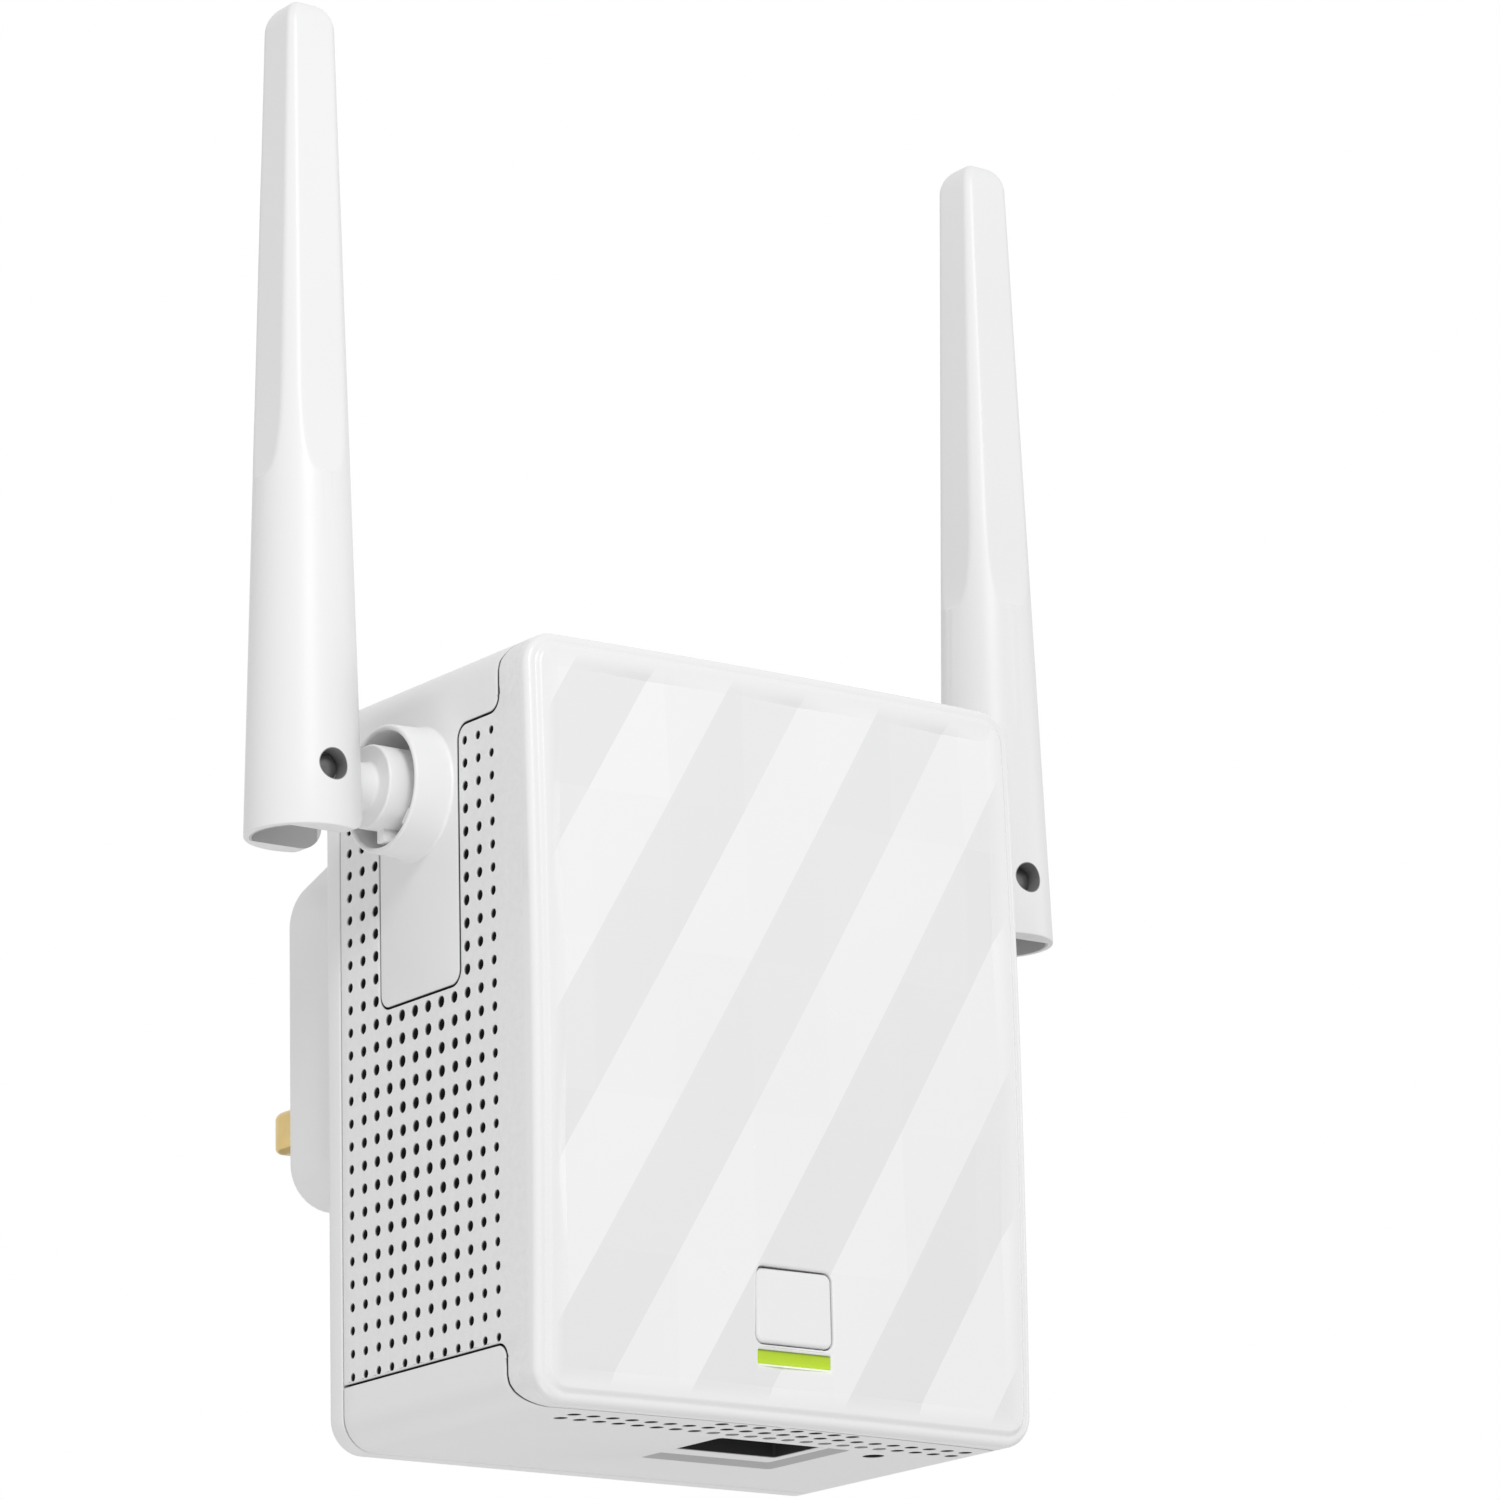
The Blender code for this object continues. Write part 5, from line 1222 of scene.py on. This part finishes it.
def make_button(finish):
    """Cap of the push button: rounded squares stacked in depth, with a soft front edge."""
    low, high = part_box("pairing_button")
    low = np.array((low[0] + BUTTON_LIP, low[2] + BUTTON_LIP))
    high = np.array((high[0] - BUTTON_LIP, high[2] - BUTTON_LIP))
    front = float(folded(0.0, (low[1] + high[1]) / 2)) - 0.02 * MM
    edge = 0.4 * MM
    rings = []
    steps = [(edge * (1 - math.sin(a)), edge * (1 - math.cos(a)))
             for a in np.radians(np.linspace(0, 90, 7))]
    profile = [(2.4 * MM, 0.05 * MM)] + steps + [(0.0, 3.0 * MM)]
    for inset, depth in profile:
        outline = rounded_rectangle(low + inset, high - inset, max(0.7 * MM - inset, 0.2 * MM), 6)
        rings.append(np.stack([outline[:, 0], np.full(len(outline), front + depth), outline[:, 1]], 1))
    Shape().grid(rings).piece("pairing_button_cap", finish, "button", "white_plastic", ["pairing_button"])


def make_light_bar(finish):
    """Bar in the slot of the face: its front lies a little behind the face's own surface."""
    slot = openings()[1]
    rings = []
    for inset, depth in ((0.9 * MM, BAR_SINK), (0.12 * MM, BAR_SINK), (BAR_GAP, BAR_SINK + 0.08 * MM)):
        ring = drawn_in(slot, inset) if inset < 0.5 * MM else (slot - slot.mean(0)) * 0.5 + slot.mean(0)
        rings.append(np.stack([ring[:, 0], folded(ring[:, 0], ring[:, 1]) + depth, ring[:, 1]], 1))
    rear = rings[-1].copy()
    rear[:, 1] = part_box("light_pipe")[1][1]
    Shape().grid(rings + [rear]).piece("light_bar", finish, "case", "light_pipe", ["light_pipe"])


def blade_ring(height, radius, full, sides=96):
    """Section of the blade at a height: a circle cut by four flats that fade in above FLAT_START."""
    share = np.clip((height - FLAT_START) / FLAT_RUNOUT, 0, 1)
    sunk = FLAT_DEPTH * math.sqrt(1 - (1 - share) ** 2)
    flat = radius - sunk * radius / full
    angles = 2 * math.pi * (np.arange(sides) + 0.5) / sides
    reach = np.minimum(radius, flat / np.maximum(np.abs(np.cos(angles)), np.abs(np.sin(angles))))
    return np.stack([reach * np.cos(angles), reach * np.sin(angles), np.full(sides, height)], 1)


def make_aerial(name, side, finish):
    """Tapered blade on its fold axis, with a forked foot cut out of it."""
    pivot = PIVOTS[name]
    low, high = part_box(f"{name}_aerial_shell")
    below, above = pivot[2] - low[2], high[2] - pivot[2]

    def radius_at(height):
        return BLADE_RADIUS - BLADE_TAPER * (height + below)

    shoulder = above - TIP_ROUND
    heights = [-below + 0.15 * MM, 0, FLAT_START * 0.5, FLAT_START]
    heights += [FLAT_START + FLAT_RUNOUT * (k / 16) ** 2 for k in range(1, 17)]
    heights += list(np.linspace(FLAT_START + FLAT_RUNOUT, shoulder, 8)[1:])
    foot = 0.15 * MM
    rings = [blade_ring(-below + foot * (1 - math.cos(a)), radius_at(-below) - foot * (1 - math.sin(a)),
                        radius_at(-below)) for a in np.radians((0, 30, 60))]
    rings += [blade_ring(h, radius_at(h), radius_at(h)) for h in heights]
    for angle in np.radians(np.linspace(0, 90, 12)[1:]):
        height = shoulder + TIP_ROUND * math.sin(angle)
        full = radius_at(shoulder)
        rings.append(blade_ring(height, full - TIP_ROUND * (1 - math.cos(angle)), full))
    rings = np.array(rings) + pivot
    blade = loose(Shape().grid(rings), f"{name}_aerial_blade")

    half_slot, slot_top, wall = 3.1 * MM, 3.32 * MM, 0.7 * MM
    inside = BLADE_RADIUS - wall
    turn = math.degrees(math.asin(half_slot / inside))
    outline = np.concatenate([arc((0, 0), inside, -turn, turn, 16),
                              [(-2 * BLADE_RADIUS, half_slot), (-2 * BLADE_RADIUS, -half_slot)]])
    slot = Shape().grid([[(pivot[0] + side * x, pivot[1] + y, pivot[2] + z) for x, y in outline]
                         for z in (-2 * below, slot_top)])
    hole = circle((0, 0), 1.35 * MM, 40)
    bore = Shape().grid([[(pivot[0] + x, pivot[1] + y, pivot[2] + z) for x, z in hole]
                         for y in (-2 * BLADE_RADIUS, 2 * BLADE_RADIUS)])
    flank = math.sqrt((BLADE_RADIUS - BLADE_TAPER * below) ** 2 - half_slot ** 2)
    bend = 2.2 * MM
    corner = arc((flank - bend, -below + bend), bend, 0, -90, 12)
    beyond = [(flank - bend, -2 * below), (2 * flank, -2 * below), (2 * flank, -below + bend)]
    corner = np.concatenate([corner, beyond])
    wedge = Shape().grid([[(pivot[0] - side * x, pivot[1] + y, pivot[2] + z) for x, z in corner]
                          for y in (-2 * BLADE_RADIUS, 2 * BLADE_RADIUS)])
    applied(blade, "DIFFERENCE", [loose(slot), loose(bore), loose(wedge)])
    finish_piece(blade, finish, f"{name}_aerial", [f"{name}_aerial_shell"])


def make_swivel(name, side, finish):
    """Swivel: a turned shaft, collar and neck, a round eye across them and the stop lug."""
    edge = 0.22 * MM
    collar_reach, pivot_reach = 5.1 * MM, abs(PIVOTS[name][0]) - HALF_WIDTH
    turns = np.radians(np.linspace(0, 90, 6))
    profile = [(-4.6 * MM, 2.6 * MM), (-0.3 * MM, 2.6 * MM), (-0.3 * MM, COLLAR_RADIUS)]
    profile += [(collar_reach - edge * (1 - math.sin(a)), COLLAR_RADIUS - edge * (1 - math.cos(a)))
                for a in turns]
    profile += [(collar_reach, NECK_RADIUS + 0.45 * MM)]
    root = collar_reach + 0.02 * MM
    profile += [(root + 0.3 * MM * (1 - math.cos(a)), NECK_RADIUS + 0.42 * MM * (1 - math.sin(a)))
                for a in turns]
    profile += [(pivot_reach - 0.5 * MM, NECK_RADIUS - 0.1 * MM)]
    body = Shape()
    turn_profile(body, side, profile)
    eye = Shape()
    pivot, half = PIVOTS[name], 2.8 * MM
    rings = []
    for depth, radius in ((-half, EYE_RADIUS - 0.25 * MM), (-half + 0.1 * MM, EYE_RADIUS - 0.07 * MM),
                          (-half + 0.25 * MM, EYE_RADIUS), (half - 0.25 * MM, EYE_RADIUS),
                          (half - 0.1 * MM, EYE_RADIUS - 0.07 * MM), (half, EYE_RADIUS - 0.25 * MM)):
        ring = circle((pivot[0], pivot[2]), radius, 64)
        rings.append(np.stack([ring[:, 0], np.full(64, pivot[1] + depth), ring[:, 1]], 1))
    eye.grid(rings)
    lug = Shape()
    outline = rounded_rectangle((SWIVEL_DEPTH - 0.5 * MM, SWIVEL_HEIGHT - 4.8 * MM),
                                (SWIVEL_DEPTH + 0.5 * MM, SWIVEL_HEIGHT - 3.0 * MM), 0.15 * MM, 3)
    lug.grid([[(side * (HALF_WIDTH + out), y, z) for y, z in outline] for out in (1.3 * MM, 3.7 * MM)])
    hole = circle((pivot[0], pivot[2]), 1.35 * MM, 40)
    bore = Shape().grid([[(x, pivot[1] + y, z) for x, z in hole] for y in (-2 * half, 2 * half)])
    swivel = loose(body, f"{name}_swivel_joint")
    applied(swivel, "UNION", [loose(eye), loose(lug)])
    applied(swivel, "DIFFERENCE", [loose(bore)])
    finish_piece(swivel, finish, f"{name}_swivel_body", [f"{name}_swivel"])


def make_hinge_pin(name, finish):
    """Pin through the fork: a cylinder with domed ends."""
    low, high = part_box(f"{name}_hinge_pin")
    centre = PIVOTS[name]
    radius, half = (high[0] - low[0]) / 2 + 0.12 * MM, (high[1] - low[1]) / 2 - 0.1 * MM
    dome = 0.35 * MM
    rings = []
    turns = np.radians(np.linspace(6, 90, 8))
    profile = [(-half + dome * (1 - math.sin(math.pi / 2 - a)), radius * math.sin(a)) for a in turns]
    profile += [(-depth, r) for depth, r in reversed(profile)]
    for depth, r in profile:
        ring = circle((centre[0], centre[2]), r, 40)
        rings.append(np.stack([ring[:, 0], np.full(40, centre[1] + depth), ring[:, 1]], 1))
    Shape().grid(rings).piece(f"{name}_hinge_rivet", finish, f"{name}_aerial", "tinned_steel",
                              [f"{name}_hinge_pin"])


def bar_ring(centre, half_width, half_height, inset, depth, radius):
    outline = rounded_rectangle((centre[0] - half_width + inset, centre[1] - half_height + inset),
                                (centre[0] + half_width - inset, centre[1] + half_height - inset),
                                max(radius - inset, 0.1 * MM), 5)
    return np.stack([outline[:, 0], np.full(len(outline), depth), outline[:, 1]], 1)


def make_pins(metal, black, white):
    """Plug pins: rounded bars whose ends draw in along a quarter ellipse, and their sleeves."""
    rows = (("line_pin", metal, "brass"), ("neutral_pin", metal, "brass"),
            ("earth_pin", white, "white_plastic"))
    turns = np.radians(np.linspace(0, 80, 7))
    for name, finish, slot in rows:
        low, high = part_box(name)
        head = 1.1 * MM
        centre = ((low[0] + high[0]) / 2, (low[2] + high[2]) / 2)
        half_width, half_height = (high[0] - low[0]) / 2 - head, (high[2] - low[2]) / 2 - head
        tip = 1.5 * MM
        rings = [bar_ring(centre, half_width + head, half_height + head, 0, low[1], 0.4 * MM),
                 bar_ring(centre, half_width + head, half_height + head, 0, -2.1 * MM, 0.4 * MM)]
        neck = 0.65 * MM if name != "earth_pin" else 0.0
        if neck:
            rings += [bar_ring(centre, half_width, half_height, neck, -2.1 * MM, 0.7 * MM),
                      bar_ring(centre, half_width, half_height, neck, 9.8 * MM, 0.7 * MM)]
        start = 9.8 * MM if neck else -2.1 * MM
        rings.append(bar_ring(centre, half_width, half_height, 0, start, 0.7 * MM))
        rings += [bar_ring(centre, half_width, half_height, 0.9 * MM * (1 - math.cos(a)),
                           high[1] - tip + tip * math.sin(a) / math.sin(turns[-1]), 0.7 * MM) for a in turns]
        Shape().grid(rings).piece(f"{name}_bar", finish, "case", slot, [name])
        if neck:
            sleeve_low, sleeve_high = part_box(f"{name}_sleeve")
            outside = [(0.0, sleeve_low[1]), (0.0, sleeve_high[1] - 0.15 * MM), (0.12 * MM, sleeve_high[1]),
                       (0.35 * MM, sleeve_high[1]), (0.35 * MM, sleeve_low[1])]
            rings = [bar_ring(centre, half_width, half_height, inset, depth, 0.7 * MM)
                     for inset, depth in outside]
            rings.append(rings[0])
            Shape().grid(rings, caps=False).piece(f"{name}_collar", black, "case", "black_plastic",
                                                  [f"{name}_sleeve"])


def finish_inner_parts(black, tin, brass):
    """Materials for the solids that keep their own shape."""
    laminate = circuit_laminate()
    brown = plain_plastic("bare_laminate", (0.42, 0.31, 0.12), 0.5)
    chip = plain_plastic("chip_epoxy", (0.03, 0.03, 0.035), 0.5)
    sleeve = plain_plastic("shrink_sleeve", (0.05, 0.07, 0.16), 0.35)
    tape = plain_plastic("winding_tape", (0.72, 0.58, 0.10), 0.45)
    fuse = plain_plastic("fuse_coating", (0.10, 0.30, 0.16), 0.5)
    film = plain_plastic("polyester_film", (0.78, 0.76, 0.68), 0.4)
    lens = plain_plastic("clear_lens", (0.85, 0.85, 0.70), 0.25)
    jacket = plain_plastic("lead_jacket", (0.16, 0.16, 0.17), 0.5)
    by_slot = {"board_laminate": laminate, "power_laminate": brown, "chip_resin": chip, "tinned_steel": tin,
               "brass": brass, "capacitor_sleeve": sleeve, "winding_tape": tape, "fuse_body": fuse,
               "insulating_film": film, "led_lens": lens, "coax_jacket": jacket, "black_plastic": black}
    for part in frame["record"]["subparts"]:
        material = by_slot.get(part["material_slot"])
        if material is None:
            continue
        obj = frame["nodes"][part["node"]]
        obj.data.materials.clear()
        obj.data.materials.append(material)


# --- studio ----------------------------------------------------------------------------------


def make_studio():
    """White surroundings, a pale floor far below and soft panels from the upper left and front."""
    world = bpy.data.worlds.new("white_surroundings")
    bpy.context.scene.world = world
    world.use_nodes = True
    tree = world.node_tree
    background = tree.nodes["Background"]
    background.inputs["Color"].default_value = (1.0, 1.0, 1.0, 1.0)
    path = tree.nodes.new("ShaderNodeLightPath")
    most = tree.nodes.new("ShaderNodeMath")
    most.operation = "MAXIMUM"
    tree.links.new(path.outputs["Is Camera Ray"], most.inputs[0])
    tree.links.new(path.outputs["Is Transmission Ray"], most.inputs[1])
    both = tree.nodes.new("ShaderNodeMath")
    both.operation = "MAXIMUM"
    tree.links.new(most.outputs[0], both.inputs[0])
    tree.links.new(path.outputs["Is Glossy Ray"], both.inputs[1])
    strength = tree.nodes.new("ShaderNodeMapRange")
    strength.inputs["To Min"].default_value = AMBIENT
    strength.inputs["To Max"].default_value = 1.0
    tree.links.new(both.outputs[0], strength.inputs["Value"])
    tree.links.new(strength.outputs["Result"], background.inputs["Strength"])

    floor_mesh = bpy.data.meshes.new("studio_floor")
    half, level = 3.0, -0.75
    corners = [(-half, -half, level), (half, -half, level), (half, half, level), (-half, half, level)]
    floor_mesh.from_pydata(corners, [], [(0, 1, 2, 3)])
    floor = bpy.data.objects.new("studio_floor", floor_mesh)
    bpy.context.scene.collection.objects.link(floor)
    pale = bpy.data.materials.new("pale_floor")
    pale.use_nodes = True
    pale.node_tree.nodes["Principled BSDF"].inputs["Base Color"].default_value = (0.9, 0.9, 0.9, 1.0)
    pale.node_tree.nodes["Principled BSDF"].inputs["Roughness"].default_value = 0.8
    floor_mesh.materials.append(pale)

    target = np.array((0.0, -0.02, 0.02))
    for name, place, size, power in PANELS:
        light = bpy.data.lights.new(name, "AREA")
        light.shape = "SQUARE"
        light.size = size
        light.energy = power
        lamp = bpy.data.objects.new(name, light)
        lamp.location = place
        direction = Vector(target - np.array(place))
        lamp.rotation_euler = direction.to_track_quat("-Z", "Y").to_euler()
        bpy.context.scene.collection.objects.link(lamp)


AMBIENT = 0.62
PANELS = (
    ("key_panel", (-0.15, -0.40, 0.25), 0.12, 0.88),
    ("right_panel", (0.50, -0.22, 0.05), 0.25, 0.30),
    ("low_panel", (-0.35, -0.25, -0.55), 0.5, 1.15),
)

CAMERA_PLACE = (-0.32613, -0.47352, -0.12352)
CAMERA_TURN = (36.788, 15.307, -1.356)
CAMERA_FOCAL = 4.341


def make_camera():
    """Long lens below the object and to its left, looking up at it."""
    azimuth, rise, roll = (math.radians(a) for a in CAMERA_TURN)
    level = math.cos(rise)
    forward = Vector((math.sin(azimuth) * level, math.cos(azimuth) * level, math.sin(rise)))
    right = forward.cross(Vector((0, 0, 1))).normalized()
    up = right.cross(forward)
    turned_right = right * math.cos(roll) + up * math.sin(roll)
    turned_up = up * math.cos(roll) - right * math.sin(roll)
    data = bpy.data.cameras.new("camera")
    data.sensor_width = 36.0
    data.lens = 36.0 * CAMERA_FOCAL
    data.clip_start = 0.01
    data.clip_end = 20.0
    camera = bpy.data.objects.new("camera", data)
    matrix = Matrix((turned_right, turned_up, -forward)).transposed().to_4x4()
    matrix.translation = Vector(CAMERA_PLACE)
    camera.matrix_world = matrix
    bpy.context.scene.collection.objects.link(camera)
    bpy.context.scene.camera = camera


def main():
    glossy, satin, grained, plain = glossy_white(), satin_white(), grained_white(), plain_white()
    aerial, pins = aerial_white(), dark_grey_steel()
    black, tin, brass = resin_black(), tin_plate(), yellow_brass()
    make_front_shell(glossy, grained)
    make_housing(satin)
    make_rear_cover(plain)
    make_button(plain)
    make_light_bar(lit_green())
    for name, side in SIDES.items():
        make_aerial(name, side, aerial)
        make_swivel(name, side, plain)
        make_hinge_pin(name, pins)
    make_pins(brass, black, plain)
    finish_inner_parts(black, tin, brass)
    make_studio()
    make_camera()
    bpy.context.scene.view_settings.view_transform = "Standard"


main()
